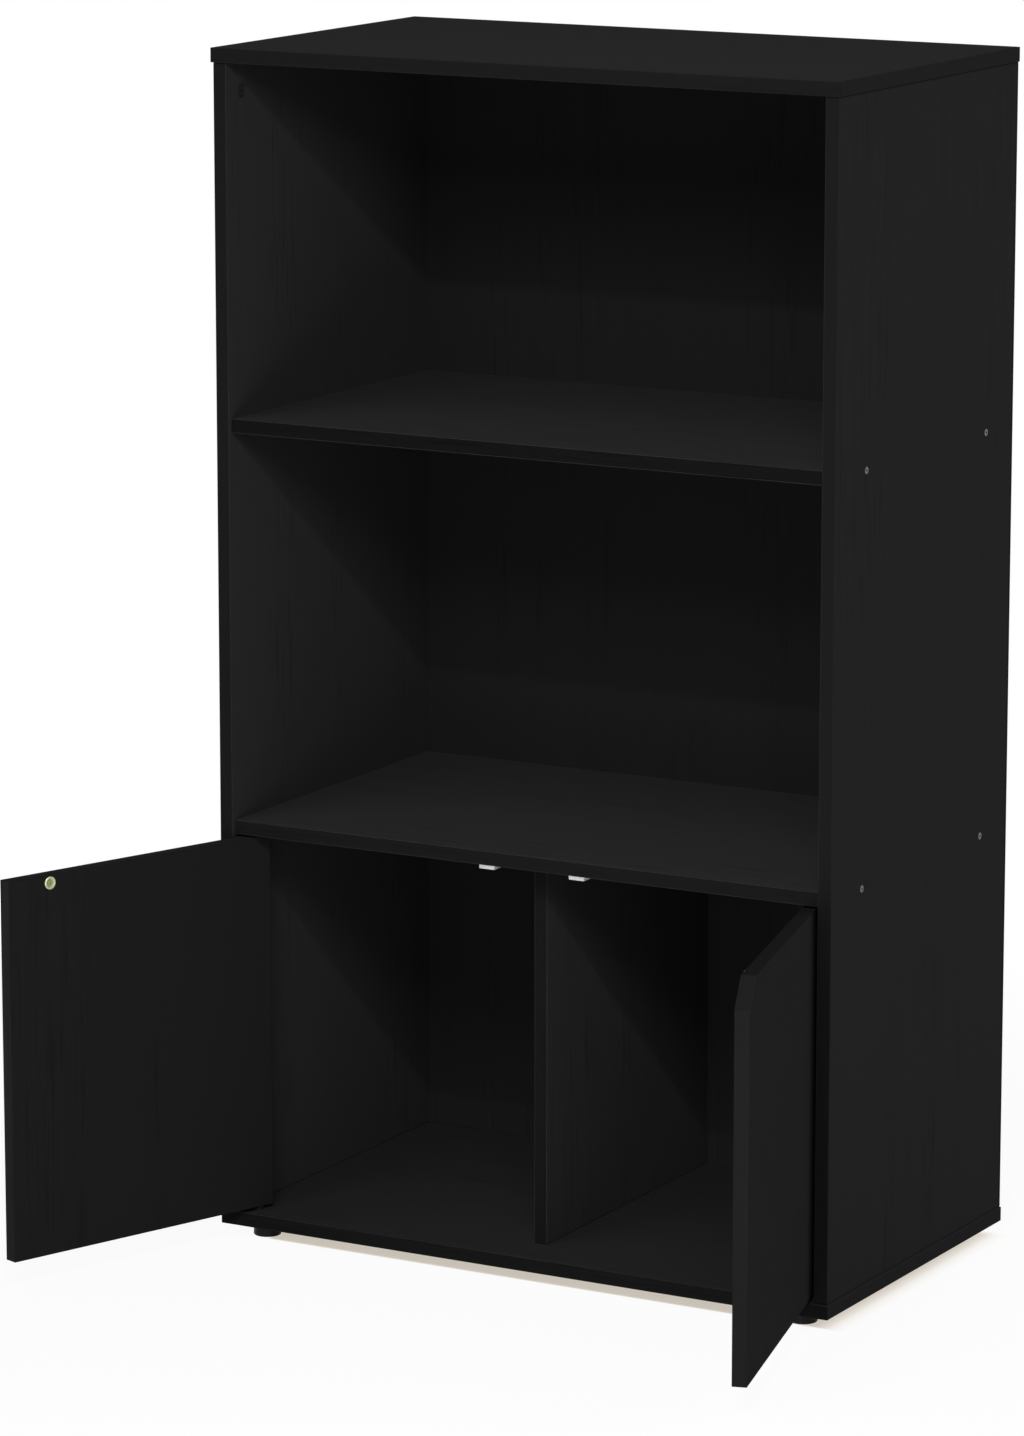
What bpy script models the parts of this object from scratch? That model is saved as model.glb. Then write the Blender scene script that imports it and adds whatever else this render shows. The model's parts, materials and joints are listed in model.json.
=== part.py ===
"""Kitchen shelf unit with a two-door cabinet, standing on four glides.

Two open bays stand over a cabinet whose pair of inset doors turn on pivot pins and close on magnetic
catches. The boards are laminated particle board, held by cam fittings, dowels and countersunk screws,
with a thin sheet behind. Lengths are in metres, +Z is up and the front faces -Y. The origin is on the
floor, under the middle of the plan box that the carcass and its open doors fill.
"""

import math
from typing import NamedTuple

import bmesh
import bpy
from mathutils import Matrix, Vector

# Boards
PANEL_WIDTH = 0.710  # top and bottom panels, end to end
PANEL_DEPTH = 0.409  # top and bottom panels, front to back
BOARD = 0.015  # every laminated board of the carcass
DOOR_BOARD = 0.015
BACK_SHEET = 0.003
EDGE_EASE = 0.0006  # round on the banded edges
EASE_STEPS = 2

# Clear heights, from the floor up
GLIDE_HEIGHT = 0.013
CABINET_HEIGHT = 0.404
MIDDLE_BAY_HEIGHT = 0.405
TOP_BAY_HEIGHT = 0.3636

# Setbacks
END_OVERHANG = 0.0017  # top and bottom panels past the sides
FRONT_OVERHANG = 0.0027  # top and bottom panels past the sides' front edges
SHELF_SETBACK = 0.0044  # shelves behind the sides' front edges
DIVIDER_SETBACK = 0.0485  # divider behind the sides' front edges

# Clearances
JOINT_GAP = 0.0003  # between pieces that butt together
FIT_GAP = 0.0003  # round a fitting in its bore
BLIND_SKIN = 0.0045  # board left past the end of a bore in its face
CAM_SKIN = 0.0024  # board left behind a cam lock
OVERCUT = 0.001  # a cutter's reach out of a bore's mouth

# Doors
DOOR_RECESS = 0.0113  # closed doors behind the sides' front edges
DOOR_SIDE_GAP = 0.0026
DOOR_CENTRE_GAP = 0.0024
UPPER_RUNNING_GAP = 0.0010  # between a door's upper edge and the bush over it
PIVOT_INSET = 0.0134  # pivot axis from the door's hanging edge
LEFT_DOOR_OPEN = math.radians(110.0)
RIGHT_DOOR_OPEN = math.radians(105.0)
CORNER_CUT = 0.028  # finger pull at the right door's upper free corner

# Pivot pins and their bushes
PIN_SHANK_RADIUS = 0.0040
PIN_SHANK_LENGTH = 0.0180
PIN_COLLAR_RADIUS = 0.0060
PIN_COLLAR = 0.0018
PIN_SPIGOT_RADIUS = 0.0025
PIN_CHAMFER = 0.0006
PIN_END_GAP = 0.0025  # between a spigot's end and the end of its seat
BUSH_WALL = 0.0014
BUSH_FLANGE_RADIUS = 0.0065
BUSH_FLANGE = 0.0015

# Magnetic catches and strikes
STRIKE_INSET = 0.0508  # strike's centre from the door's free edge
STRIKE_DROP = 0.0082  # strike's centre below the door's upper edge
STRIKE_RADIUS = 0.0066
STRIKE_THICKNESS = 0.0016
STRIKE_CHAMFER = 0.0005
CATCH_WIDTH = 0.018
CATCH_HEIGHT = 0.0100
CATCH_BLOCK = 0.016  # front block that holds the magnet
CATCH_LUG = 0.013  # screw lug behind the block
CATCH_LUG_HEIGHT = 0.0045
CATCH_WALL = 0.0015
CATCH_EASE = 0.0008

# Carcass screws, cross-headed and countersunk
SCREW_HEAD_RADIUS = 0.0037
SCREW_HEAD_DEPTH = 0.0030
SCREW_SHANK_RADIUS = 0.0022
SCREW_LENGTH = 0.045
SCREW_CROSS_SPAN = 0.0042
SCREW_CROSS_DEPTH = 0.0016
SHELF_SCREW_FRONT = 0.0683  # from the sides' front edges
SHELF_SCREW_REAR = 0.0600  # from the sides' rear edges
BASE_SCREW_INSET = 0.0450  # from the sides' front and rear edges

# Small screws of the catches and strikes
SMALL_SCREW_HEAD_RADIUS = 0.0026
SMALL_SCREW_HEAD_DEPTH = 0.0013
SMALL_SCREW_SHANK_RADIUS = 0.0013
SMALL_SCREW_LENGTH = 0.012
SMALL_SCREW_CROSS_SPAN = 0.0030
SMALL_SCREW_CROSS_DEPTH = 0.0008

CROSS_WIDTH = 0.0008
HEAD_RIM = 0.0004  # straight rim over a countersunk head's cone
SCREW_TIP = 0.004
SMALL_SCREW_TIP = 0.002

# Cam fittings between the sides and the top panel
CAM_RADIUS = 0.0075
CAM_RIM = 0.0006
CAM_INSET = 0.0295  # from the sides' front and rear edges
CAM_DROP = 0.0300  # below the sides' upper edges
CAM_CROSS_SPAN = 0.0084
CAM_CROSS_DEPTH = 0.0020
CAM_CROSS_WIDTH = 0.0014
BOLT_RADIUS = 0.0030
BOLT_NECK_RADIUS = 0.0020
BOLT_HEAD = 0.0030
BOLT_NECK = 0.0050

# Dowels
DOWEL_RADIUS = 0.0040
DOWEL_LENGTH = 0.0300
DOWEL_CHAMFER = 0.0008
DOWEL_INSET = 0.0615  # from the sides' front and rear edges
DIVIDER_FIXING_INSET = 0.0600  # from the divider's front and rear edges

# Nailed glides
GLIDE_RADIUS = 0.0145
GLIDE_CHAMFER = 0.0020
GLIDE_DRAFT = 0.0008
GLIDE_END_INSET = 0.0400  # centre from the panel's ends
GLIDE_EDGE_INSET = 0.0270  # centre from the panel's front and rear edges
GLIDE_NAIL_RADIUS = 0.0013
GLIDE_NAIL_LENGTH = 0.0090

# Facets of the round pieces
FINE_SIDES = 24
PLAIN_SIDES = 16
SCREW_SIDES = 12
WELD = 1e-6

# Heights above the floor
BOTTOM_LOW = GLIDE_HEIGHT
BOTTOM_TOP = BOTTOM_LOW + BOARD
MIDDLE_LOW = BOTTOM_TOP + CABINET_HEIGHT
MIDDLE_TOP = MIDDLE_LOW + BOARD
UPPER_LOW = MIDDLE_TOP + MIDDLE_BAY_HEIGHT
UPPER_TOP = UPPER_LOW + BOARD
TOP_LOW = UPPER_TOP + TOP_BAY_HEIGHT
TOP_TOP = TOP_LOW + BOARD

# Plan, from the middle of the panels' front edge
SIDE_OUT = PANEL_WIDTH / 2 - END_OVERHANG
SIDE_IN = SIDE_OUT - BOARD
SIDE_MIDDLE = (SIDE_OUT + SIDE_IN) / 2
SIDE_FRONT = FRONT_OVERHANG
SIDE_BACK = PANEL_DEPTH - BACK_SHEET - JOINT_GAP
SIDE_LOW = BOTTOM_TOP + JOINT_GAP
SIDE_TOP = TOP_LOW - JOINT_GAP
SHELF_END = SIDE_IN - JOINT_GAP
SHELF_FRONT = SIDE_FRONT + SHELF_SETBACK
DIVIDER_FRONT = SIDE_FRONT + DIVIDER_SETBACK
BLIND_DEPTH = BOARD - BLIND_SKIN

# Doors, closed
DOOR_LOW = BOTTOM_TOP + BUSH_FLANGE + PIN_COLLAR + 3 * FIT_GAP
DOOR_TOP = MIDDLE_LOW - BUSH_FLANGE - FIT_GAP - UPPER_RUNNING_GAP
DOOR_WIDTH = SIDE_IN - DOOR_SIDE_GAP - DOOR_CENTRE_GAP / 2
DOOR_REACH = DOOR_WIDTH - PIVOT_INSET  # pivot axis to free edge
PIVOT_X = SIDE_IN - DOOR_SIDE_GAP - PIVOT_INSET
PIVOT_Y = SIDE_FRONT + DOOR_RECESS + DOOR_BOARD / 2
STRIKE_REACH = DOOR_REACH - STRIKE_INSET  # pivot axis to strike
STRIKE_FACE = DOOR_BOARD / 2 + FIT_GAP + STRIKE_THICKNESS  # pivot axis to strike's outer face
CATCH_X = PIVOT_X - STRIKE_REACH
CATCH_FRONT = PIVOT_Y + STRIKE_FACE + FIT_GAP
CATCH_TOP = MIDDLE_LOW - JOINT_GAP
CATCH_SCREW_Y = CATCH_FRONT + CATCH_BLOCK + CATCH_LUG / 2

SHELF_SCREW_ROWS = (SIDE_FRONT + SHELF_SCREW_FRONT, SIDE_BACK - SHELF_SCREW_REAR)
BASE_SCREW_ROWS = (SIDE_FRONT + BASE_SCREW_INSET, SIDE_BACK - BASE_SCREW_INSET)
CAM_ROWS = (SIDE_FRONT + CAM_INSET, SIDE_BACK - CAM_INSET)
DOWEL_ROWS = (SIDE_FRONT + DOWEL_INSET, SIDE_BACK - DOWEL_INSET)
DIVIDER_ROWS = (DIVIDER_FRONT + DIVIDER_FIXING_INSET, SIDE_BACK - DIVIDER_FIXING_INSET)
GLIDE_ROWS = (GLIDE_EDGE_INSET, PANEL_DEPTH - GLIDE_EDGE_INSET)
GLIDE_X = PANEL_WIDTH / 2 - GLIDE_END_INSET
ROW_NAMES = ("front", "rear")
HANDS = (("left", -1), ("right", 1))

UP = Vector((0.0, 0.0, 1.0))
DOWN = Vector((0.0, 0.0, -1.0))
ACROSS = Vector((1.0, 0.0, 0.0))
BACKWARD = Vector((0.0, 1.0, 0.0))
FORWARD = Vector((0.0, -1.0, 0.0))


class Screw(NamedTuple):
    """A countersunk cross-head screw, measured from the face of its head."""

    head_radius: float
    head_depth: float
    shank_radius: float
    length: float
    tip: float
    cross_span: float
    cross_depth: float


class Bore(NamedTuple):
    """A hole: the middle of its mouth, the way it runs into the board, and its (radius, depth) outline."""

    mouth: Vector
    way: Vector
    outline: list


CARCASS_SCREW = Screw(
    SCREW_HEAD_RADIUS,
    SCREW_HEAD_DEPTH,
    SCREW_SHANK_RADIUS,
    SCREW_LENGTH,
    SCREW_TIP,
    SCREW_CROSS_SPAN,
    SCREW_CROSS_DEPTH,
)
SMALL_SCREW = Screw(
    SMALL_SCREW_HEAD_RADIUS,
    SMALL_SCREW_HEAD_DEPTH,
    SMALL_SCREW_SHANK_RADIUS,
    SMALL_SCREW_LENGTH,
    SMALL_SCREW_TIP,
    SMALL_SCREW_CROSS_SPAN,
    SMALL_SCREW_CROSS_DEPTH,
)


def clear_scene():
    """Remove every object of the startup scene."""
    for thing in list(bpy.data.objects):
        bpy.data.objects.remove(thing)


def finish(name, colour, roughness, metallic=0.0):
    """A Principled material of one colour."""
    material = bpy.data.materials.new(name)
    material.use_nodes = True
    shader = material.node_tree.nodes["Principled BSDF"]
    shader.inputs["Base Color"].default_value = (*colour, 1.0)
    shader.inputs["Roughness"].default_value = roughness
    shader.inputs["Metallic"].default_value = metallic
    return material


def axis_empty(name, place, turn=0.0, parent=None):
    """An empty that carries pieces, turned about Z."""
    empty = bpy.data.objects.new(name, None)
    bpy.context.collection.objects.link(empty)
    empty.location = place
    empty.rotation_euler.z = turn
    empty.parent = parent
    return empty


def mesh_from(bm, name):
    """Turn a finished bmesh into a mesh and free it."""
    bmesh.ops.recalc_face_normals(bm, faces=bm.faces)
    mesh = bpy.data.meshes.new(name)
    bm.to_mesh(mesh)
    bm.free()
    return mesh


def add_object(name, mesh, parent, material=None, pose=None):
    """Link a mesh under its carrier, posed in the carrier's frame."""
    thing = bpy.data.objects.new(name, mesh)
    bpy.context.collection.objects.link(thing)
    thing.parent = parent
    thing.matrix_basis = pose or Matrix()
    if material and not mesh.materials:
        mesh.materials.append(material)
    return thing


def aim(mouth, way):
    """Pose that sets local Z along way, from mouth."""
    return Matrix.Translation(mouth) @ way.to_track_quat("Z", "Y").to_matrix().to_4x4()


def turned(outline, sides):
    """Spin an outline of (radius, height) points about Z: from axis to axis, or a closed loop off it."""
    bm = bmesh.new()
    points = [bm.verts.new((radius, 0.0, height)) for radius, height in outline]
    edges = [bm.edges.new(pair) for pair in zip(points, points[1:])]
    if outline[0][0] > 0.0:
        edges.append(bm.edges.new((points[-1], points[0])))
    bmesh.ops.spin(
        bm,
        geom=points + edges,
        cent=(0.0, 0.0, 0.0),
        axis=UP,
        angle=2 * math.pi,
        steps=sides,
        use_merge=True,
    )
    bmesh.ops.remove_doubles(bm, verts=bm.verts, dist=WELD)
    bmesh.ops.recalc_face_normals(bm, faces=bm.faces)
    return bm


def smooth(mesh, angle=math.radians(35.0)):
    """Shade a round piece smooth, with its corners kept sharp."""
    mesh.shade_smooth()
    mesh.set_sharp_from_angle(angle=angle)
    return mesh


def turned_piece(name, outline, sides, mouth, way, parent, material):
    """A round piece along way, with its outline measured from mouth."""
    mesh = smooth(mesh_from(turned(outline, sides), name))
    return add_object(name, mesh, parent, material, aim(mouth, way))


def posed(bm, pose):
    """Move a bmesh, and its normals with it."""
    bm.transform(pose)
    bm.normal_update()
    return bm


def box(low, high):
    """A plain block between two corners."""
    low = Vector(low)
    high = Vector(high)
    bm = bmesh.new()
    bmesh.ops.create_cube(bm, size=1.0)
    bmesh.ops.scale(bm, vec=high - low, verts=bm.verts)
    bmesh.ops.translate(bm, vec=(low + high) / 2, verts=bm.verts)
    return bm


def extruded(outline, way):
    """Push a flat outline of points along way."""
    bm = bmesh.new()
    face = bm.faces.new([bm.verts.new(point) for point in outline])
    pushed = bmesh.ops.extrude_face_region(bm, geom=[face])
    risen = [item for item in pushed["geom"] if isinstance(item, bmesh.types.BMVert)]
    bmesh.ops.translate(bm, vec=way, verts=risen)
    bmesh.ops.recalc_face_normals(bm, faces=bm.faces)
    return bm


def ease_edges(bm, width, steps=EASE_STEPS):
    """Round every edge of a block by a small width."""
    bmesh.ops.bevel(bm, geom=bm.edges, offset=width, segments=steps, profile=0.5, affect="EDGES")
    return bm


def board(name, low, high, parent, material, ease=EDGE_EASE):
    """A square-cut board between two corners, placed by its middle."""
    low = Vector(low)
    high = Vector(high)
    half = (high - low) / 2
    bm = box(-half, half)
    if ease:
        ease_edges(bm, ease)
    pose = Matrix.Translation((low + high) / 2)
    return add_object(name, mesh_from(bm, name), parent, material, pose)


def helper(name, bm, parent):
    """A hidden wire object that only cuts."""
    cutter = add_object(name, mesh_from(bm, name), parent)
    cutter.hide_render = True
    cutter.display_type = "WIRE"
    return cutter


def cut(target, cutter):
    """Cut a helper's volume out of a piece. The helper's bores may run into each other."""
    modifier = target.modifiers.new(cutter.name, "BOOLEAN")
    modifier.operation = "DIFFERENCE"
    modifier.solver = "EXACT"
    modifier.use_self = True
    modifier.object = cutter


def join(bm, other):
    """Add another bmesh's faces to a bmesh."""
    mesh = mesh_from(other, "joined")
    bm.from_mesh(mesh)
    bpy.data.meshes.remove(mesh)


def drill(target, bores, sides=SCREW_SIDES):
    """Cut all of a board's bores with one helper."""
    bm = bmesh.new()
    for bore in bores:
        join(bm, posed(turned(bore.outline, sides), aim(bore.mouth, bore.way)))
    cut(target, helper(target.name + "_bores", bm, target.parent))


def straight_bore(mouth, way, radius, depth):
    """A plain bore that clears a round piece of this radius and depth."""
    wall = radius + FIT_GAP
    end = depth + FIT_GAP
    return Bore(mouth, way, [(0.0, -OVERCUT), (wall, -OVERCUT), (wall, end), (0.0, end)])


def screw_bore(mouth, way, screw, depth):
    """A countersunk bore for a screw's head and shank."""
    head = screw.head_radius + FIT_GAP
    shank = screw.shank_radius + FIT_GAP
    outline = [
        (0.0, -OVERCUT),
        (head, -OVERCUT),
        (head, HEAD_RIM),
        (shank, screw.head_depth),
        (shank, depth),
        (0.0, depth),
    ]
    return Bore(mouth, way, outline)


def screw_mesh(name, screw, material):
    """A screw along Z from the face of its head, with a cross recess cut in it."""
    outline = [
        (0.0, 0.0),
        (screw.head_radius, 0.0),
        (screw.head_radius, HEAD_RIM),
        (screw.shank_radius, screw.head_depth),
        (screw.shank_radius, screw.length - screw.tip),
        (0.0, screw.length),
    ]
    blank = add_object(name, mesh_from(turned(outline, SCREW_SIDES), name), None)
    cross = cross_tool(name + "_cross", screw.cross_span, CROSS_WIDTH, screw.cross_depth)
    cut(blank, cross)
    bpy.context.view_layer.update()
    graph = bpy.context.evaluated_depsgraph_get()
    mesh = bpy.data.meshes.new_from_object(blank.evaluated_get(graph))
    bpy.data.objects.remove(blank)
    bpy.data.objects.remove(cross)
    mesh.materials.clear()
    mesh.materials.append(material)
    return smooth(mesh)


def cross_bmesh(span, width, depth):
    """A plus-shaped tool that sinks depth into a face at Z 0."""
    arm = span / 2
    half = width / 2
    outline = [
        (arm, -half),
        (arm, half),
        (half, half),
        (half, arm),
        (-half, arm),
        (-half, half),
        (-arm, half),
        (-arm, -half),
        (-half, -half),
        (-half, -arm),
        (half, -arm),
        (half, -half),
    ]
    return extruded([(x, y, -OVERCUT) for x, y in outline], UP * (OVERCUT + depth))


def cross_tool(name, span, width, depth):
    """A free plus-shaped helper."""
    return helper(name, cross_bmesh(span, width, depth), None)


def carcass_panels(unit, laminate, sheet):
    """The boards that stay put, each with its bores."""
    panel = PANEL_WIDTH / 2
    top = board("top_panel", (-panel, 0, TOP_LOW), (panel, PANEL_DEPTH, TOP_TOP), unit, laminate)
    drill(top, top_panel_bores(), PLAIN_SIDES)

    base = board("bottom_panel", (-panel, 0, BOTTOM_LOW), (panel, PANEL_DEPTH, BOTTOM_TOP), unit, laminate)
    drill(base, bottom_panel_bores())

    for side, hand in HANDS:
        ends = sorted((hand * SIDE_IN, hand * SIDE_OUT))
        upright = board(
            side + "_side_panel",
            (ends[0], SIDE_FRONT, SIDE_LOW),
            (ends[1], SIDE_BACK, SIDE_TOP),
            unit,
            laminate,
        )
        drill(upright, side_panel_bores(hand))

    for name, low in (("upper_shelf", UPPER_LOW), ("middle_shelf", MIDDLE_LOW)):
        shelf = board(
            name,
            (-SHELF_END, SHELF_FRONT, low),
            (SHELF_END, SIDE_BACK, low + BOARD),
            unit,
            laminate,
        )
        bores = shelf_end_bores(low + BOARD / 2)
        if name == "middle_shelf":
            bores += middle_shelf_bores()
        drill(shelf, bores)

    divider = board(
        "cabinet_divider",
        (-BOARD / 2, DIVIDER_FRONT, BOTTOM_TOP + JOINT_GAP),
        (BOARD / 2, SIDE_BACK, MIDDLE_LOW - JOINT_GAP),
        unit,
        laminate,
    )
    drill(divider, divider_bores())

    board(
        "back_panel",
        (-SIDE_OUT, PANEL_DEPTH - BACK_SHEET, SIDE_LOW),
        (SIDE_OUT, PANEL_DEPTH, SIDE_TOP),
        unit,
        sheet,
        ease=0.0,
    )


def dowel_edge_depth():
    """How far a dowel stands in the board edge below its blind end."""
    return DOWEL_LENGTH - (BLIND_DEPTH - FIT_GAP) - JOINT_GAP


def screw_edge_depth():
    """How far a carcass screw runs into the board past the one it goes through."""
    return SCREW_LENGTH - BOARD - JOINT_GAP


def top_panel_bores():
    """Blind bores under the top panel for the cam bolts and the dowels."""
    bores = []
    for _, hand in HANDS:
        for y in CAM_ROWS:
            mouth = Vector((hand * SIDE_MIDDLE, y, TOP_LOW))
            bores.append(straight_bore(mouth, UP, BOLT_RADIUS, BLIND_DEPTH - FIT_GAP))
        for y in DOWEL_ROWS:
            mouth = Vector((hand * SIDE_MIDDLE, y, TOP_LOW))
            bores.append(straight_bore(mouth, UP, DOWEL_RADIUS, BLIND_DEPTH - FIT_GAP))
    return bores


def bottom_panel_bores():
    """Screw holes from below, glide nail holes, and the door bushes' seats."""
    bores = []
    through = BOARD + OVERCUT
    for _, hand in HANDS:
        for y in BASE_SCREW_ROWS:
            mouth = Vector((hand * SIDE_MIDDLE, y, BOTTOM_LOW))
            bores.append(screw_bore(mouth, UP, CARCASS_SCREW, through))
        for y in GLIDE_ROWS:
            mouth = Vector((hand * GLIDE_X, y, BOTTOM_LOW))
            bores.append(straight_bore(mouth, UP, GLIDE_NAIL_RADIUS, GLIDE_NAIL_LENGTH))
        bores.append(bush_bore(hand, BOTTOM_TOP, DOWN))
    for y in DIVIDER_ROWS:
        bores.append(screw_bore(Vector((0.0, y, BOTTOM_LOW)), UP, CARCASS_SCREW, through))
    return bores


def side_panel_bores(hand):
    """Shelf screw holes, cam pockets, and the bores in the two ends."""
    outward = ACROSS * hand
    bores = []
    for y in SHELF_SCREW_ROWS:
        for low in (UPPER_LOW, MIDDLE_LOW):
            mouth = Vector((hand * SIDE_OUT, y, low + BOARD / 2))
            bores.append(screw_bore(mouth, -outward, CARCASS_SCREW, BOARD + OVERCUT))
    for y in CAM_ROWS:
        pocket = Vector((hand * SIDE_IN, y, SIDE_TOP - CAM_DROP))
        bores.append(straight_bore(pocket, outward, CAM_RADIUS, BOARD - CAM_SKIN - FIT_GAP))
        end = Vector((hand * SIDE_MIDDLE, y, SIDE_TOP))
        bores.append(straight_bore(end, DOWN, BOLT_RADIUS, CAM_DROP))
    for y in DOWEL_ROWS:
        end = Vector((hand * SIDE_MIDDLE, y, SIDE_TOP))
        bores.append(straight_bore(end, DOWN, DOWEL_RADIUS, dowel_edge_depth()))
    for y in BASE_SCREW_ROWS:
        end = Vector((hand * SIDE_MIDDLE, y, SIDE_LOW))
        bores.append(straight_bore(end, UP, SCREW_SHANK_RADIUS, screw_edge_depth()))
    return bores


def shelf_end_bores(middle):
    """Screw bores in a shelf's two ends, at its mid thickness."""
    bores = []
    for _, hand in HANDS:
        for y in SHELF_SCREW_ROWS:
            mouth = Vector((hand * SHELF_END, y, middle))
            bores.append(straight_bore(mouth, ACROSS * -hand, SCREW_SHANK_RADIUS, screw_edge_depth()))
    return bores


def middle_shelf_bores():
    """Under the middle shelf: bush seats, divider dowel bores and catch screw bores."""
    bores = []
    for _, hand in HANDS:
        bores.append(bush_bore(hand, MIDDLE_LOW, UP))
        mouth = Vector((hand * CATCH_X, CATCH_SCREW_Y, MIDDLE_LOW))
        depth = SMALL_SCREW_LENGTH - CATCH_LUG_HEIGHT - JOINT_GAP
        bores.append(straight_bore(mouth, UP, SMALL_SCREW_SHANK_RADIUS, depth))
    for y in DIVIDER_ROWS:
        mouth = Vector((0.0, y, MIDDLE_LOW))
        bores.append(straight_bore(mouth, UP, DOWEL_RADIUS, BLIND_DEPTH - FIT_GAP))
    return bores


def divider_bores():
    """Dowel bores in the divider's upper edge and screw bores in its lower edge."""
    bores = []
    for y in DIVIDER_ROWS:
        upper = Vector((0.0, y, MIDDLE_LOW - JOINT_GAP))
        bores.append(straight_bore(upper, DOWN, DOWEL_RADIUS, dowel_edge_depth()))
        lower = Vector((0.0, y, BOTTOM_TOP + JOINT_GAP))
        bores.append(straight_bore(lower, UP, SCREW_SHANK_RADIUS, screw_edge_depth()))
    return bores


def bush_bore(hand, height, way):
    """Seat of a door's bush in the board over or under it."""
    mouth = Vector((hand * PIVOT_X, PIVOT_Y, height))
    return straight_bore(mouth, way, bush_radius(), BLIND_DEPTH - FIT_GAP)


def bush_radius():
    """Outer radius of a bush's sleeve."""
    return PIN_SPIGOT_RADIUS + FIT_GAP + BUSH_WALL


def carcass_screws(unit, zinc):
    """Screws through the sides into the shelves, and up through the bottom panel."""
    mesh = screw_mesh("carcass_screw", CARCASS_SCREW, zinc)
    for side, hand in HANDS:
        inward = ACROSS * -hand
        for shelf, low in (("upper", UPPER_LOW), ("middle", MIDDLE_LOW)):
            for row, y in zip(ROW_NAMES, SHELF_SCREW_ROWS):
                head = Vector((hand * SIDE_OUT, y, low + BOARD / 2))
                name = f"{shelf}_shelf_screw_{side}_{row}"
                add_object(name, mesh, unit, pose=aim(head, inward))
        for row, y in zip(ROW_NAMES, BASE_SCREW_ROWS):
            head = Vector((hand * SIDE_MIDDLE, y, BOTTOM_LOW))
            add_object(f"base_screw_{side}_{row}", mesh, unit, pose=aim(head, UP))
    for row, y in zip(ROW_NAMES, DIVIDER_ROWS):
        head = Vector((0.0, y, BOTTOM_LOW))
        add_object(f"divider_screw_{row}", mesh, unit, pose=aim(head, UP))


def cam_fittings(unit, zinc):
    """Cam locks in the sides, each drawing down a bolt that stands in the top panel."""
    depth = BOARD - CAM_SKIN - FIT_GAP
    cam_outline = [
        (0.0, 0.0),
        (CAM_RADIUS - CAM_RIM, 0.0),
        (CAM_RADIUS, CAM_RIM),
        (CAM_RADIUS, depth),
        (0.0, depth),
    ]
    bolt_end = CAM_DROP + BOLT_HEAD / 2
    bolt_outline = [
        (0.0, -JOINT_GAP - (BLIND_DEPTH - FIT_GAP)),
        (BOLT_RADIUS, -JOINT_GAP - (BLIND_DEPTH - FIT_GAP)),
        (BOLT_RADIUS, bolt_end - BOLT_HEAD - BOLT_NECK),
        (BOLT_NECK_RADIUS, bolt_end - BOLT_HEAD - BOLT_NECK),
        (BOLT_NECK_RADIUS, bolt_end - BOLT_HEAD),
        (BOLT_RADIUS, bolt_end - BOLT_HEAD),
        (BOLT_RADIUS, bolt_end),
        (0.0, bolt_end),
    ]
    slot = BOLT_RADIUS + FIT_GAP
    slot_end = bolt_end + FIT_GAP
    slot_outline = [(0.0, 0.0), (slot, 0.0), (slot, slot_end), (0.0, slot_end)]
    for side, hand in HANDS:
        outward = ACROSS * hand
        for row, y in zip(ROW_NAMES, CAM_ROWS):
            face = Vector((hand * SIDE_IN, y, SIDE_TOP - CAM_DROP))
            end = Vector((hand * SIDE_MIDDLE, y, SIDE_TOP))
            name = f"cam_lock_{side}_{row}"
            cam = turned_piece(name, cam_outline, FINE_SIDES, face, outward, unit, zinc)
            tools = posed(turned(slot_outline, SCREW_SIDES), aim(end, DOWN))
            cross = cross_bmesh(CAM_CROSS_SPAN, CAM_CROSS_WIDTH, CAM_CROSS_DEPTH)
            join(tools, posed(cross, aim(face, outward)))
            cut(cam, helper(name + "_recesses", tools, unit))
            bolt = f"cam_bolt_{side}_{row}"
            turned_piece(bolt, bolt_outline, SCREW_SIDES, end, DOWN, unit, zinc)


def dowels(unit, beech):
    """Dowels between the sides and the top panel, and between the divider and the middle shelf."""
    outline = [
        (0.0, 0.0),
        (DOWEL_RADIUS - DOWEL_CHAMFER, 0.0),
        (DOWEL_RADIUS, DOWEL_CHAMFER),
        (DOWEL_RADIUS, DOWEL_LENGTH - DOWEL_CHAMFER),
        (DOWEL_RADIUS - DOWEL_CHAMFER, DOWEL_LENGTH),
        (0.0, DOWEL_LENGTH),
    ]
    rise = BLIND_DEPTH - FIT_GAP
    for row, y in zip(ROW_NAMES, DOWEL_ROWS):
        for side, hand in HANDS:
            upper = Vector((hand * SIDE_MIDDLE, y, TOP_LOW + rise))
            turned_piece(f"top_dowel_{side}_{row}", outline, SCREW_SIDES, upper, DOWN, unit, beech)
    for row, y in zip(ROW_NAMES, DIVIDER_ROWS):
        upper = Vector((0.0, y, MIDDLE_LOW + rise))
        turned_piece(f"divider_dowel_{row}", outline, SCREW_SIDES, upper, DOWN, unit, beech)


def glides(unit, plastic):
    """Round glides under the bottom panel's corners, each with its nail."""
    crown = GLIDE_HEIGHT - JOINT_GAP
    outline = [
        (0.0, 0.0),
        (GLIDE_RADIUS - GLIDE_DRAFT - GLIDE_CHAMFER, 0.0),
        (GLIDE_RADIUS - GLIDE_DRAFT, GLIDE_CHAMFER),
        (GLIDE_RADIUS, crown),
        (GLIDE_NAIL_RADIUS, crown),
        (GLIDE_NAIL_RADIUS, GLIDE_HEIGHT + GLIDE_NAIL_LENGTH),
        (0.0, GLIDE_HEIGHT + GLIDE_NAIL_LENGTH),
    ]
    for row, y in zip(ROW_NAMES, GLIDE_ROWS):
        for side, hand in HANDS:
            floor = Vector((hand * GLIDE_X, y, 0.0))
            turned_piece(f"{row}_{side}_foot", outline, FINE_SIDES, floor, UP, unit, plastic)


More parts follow.
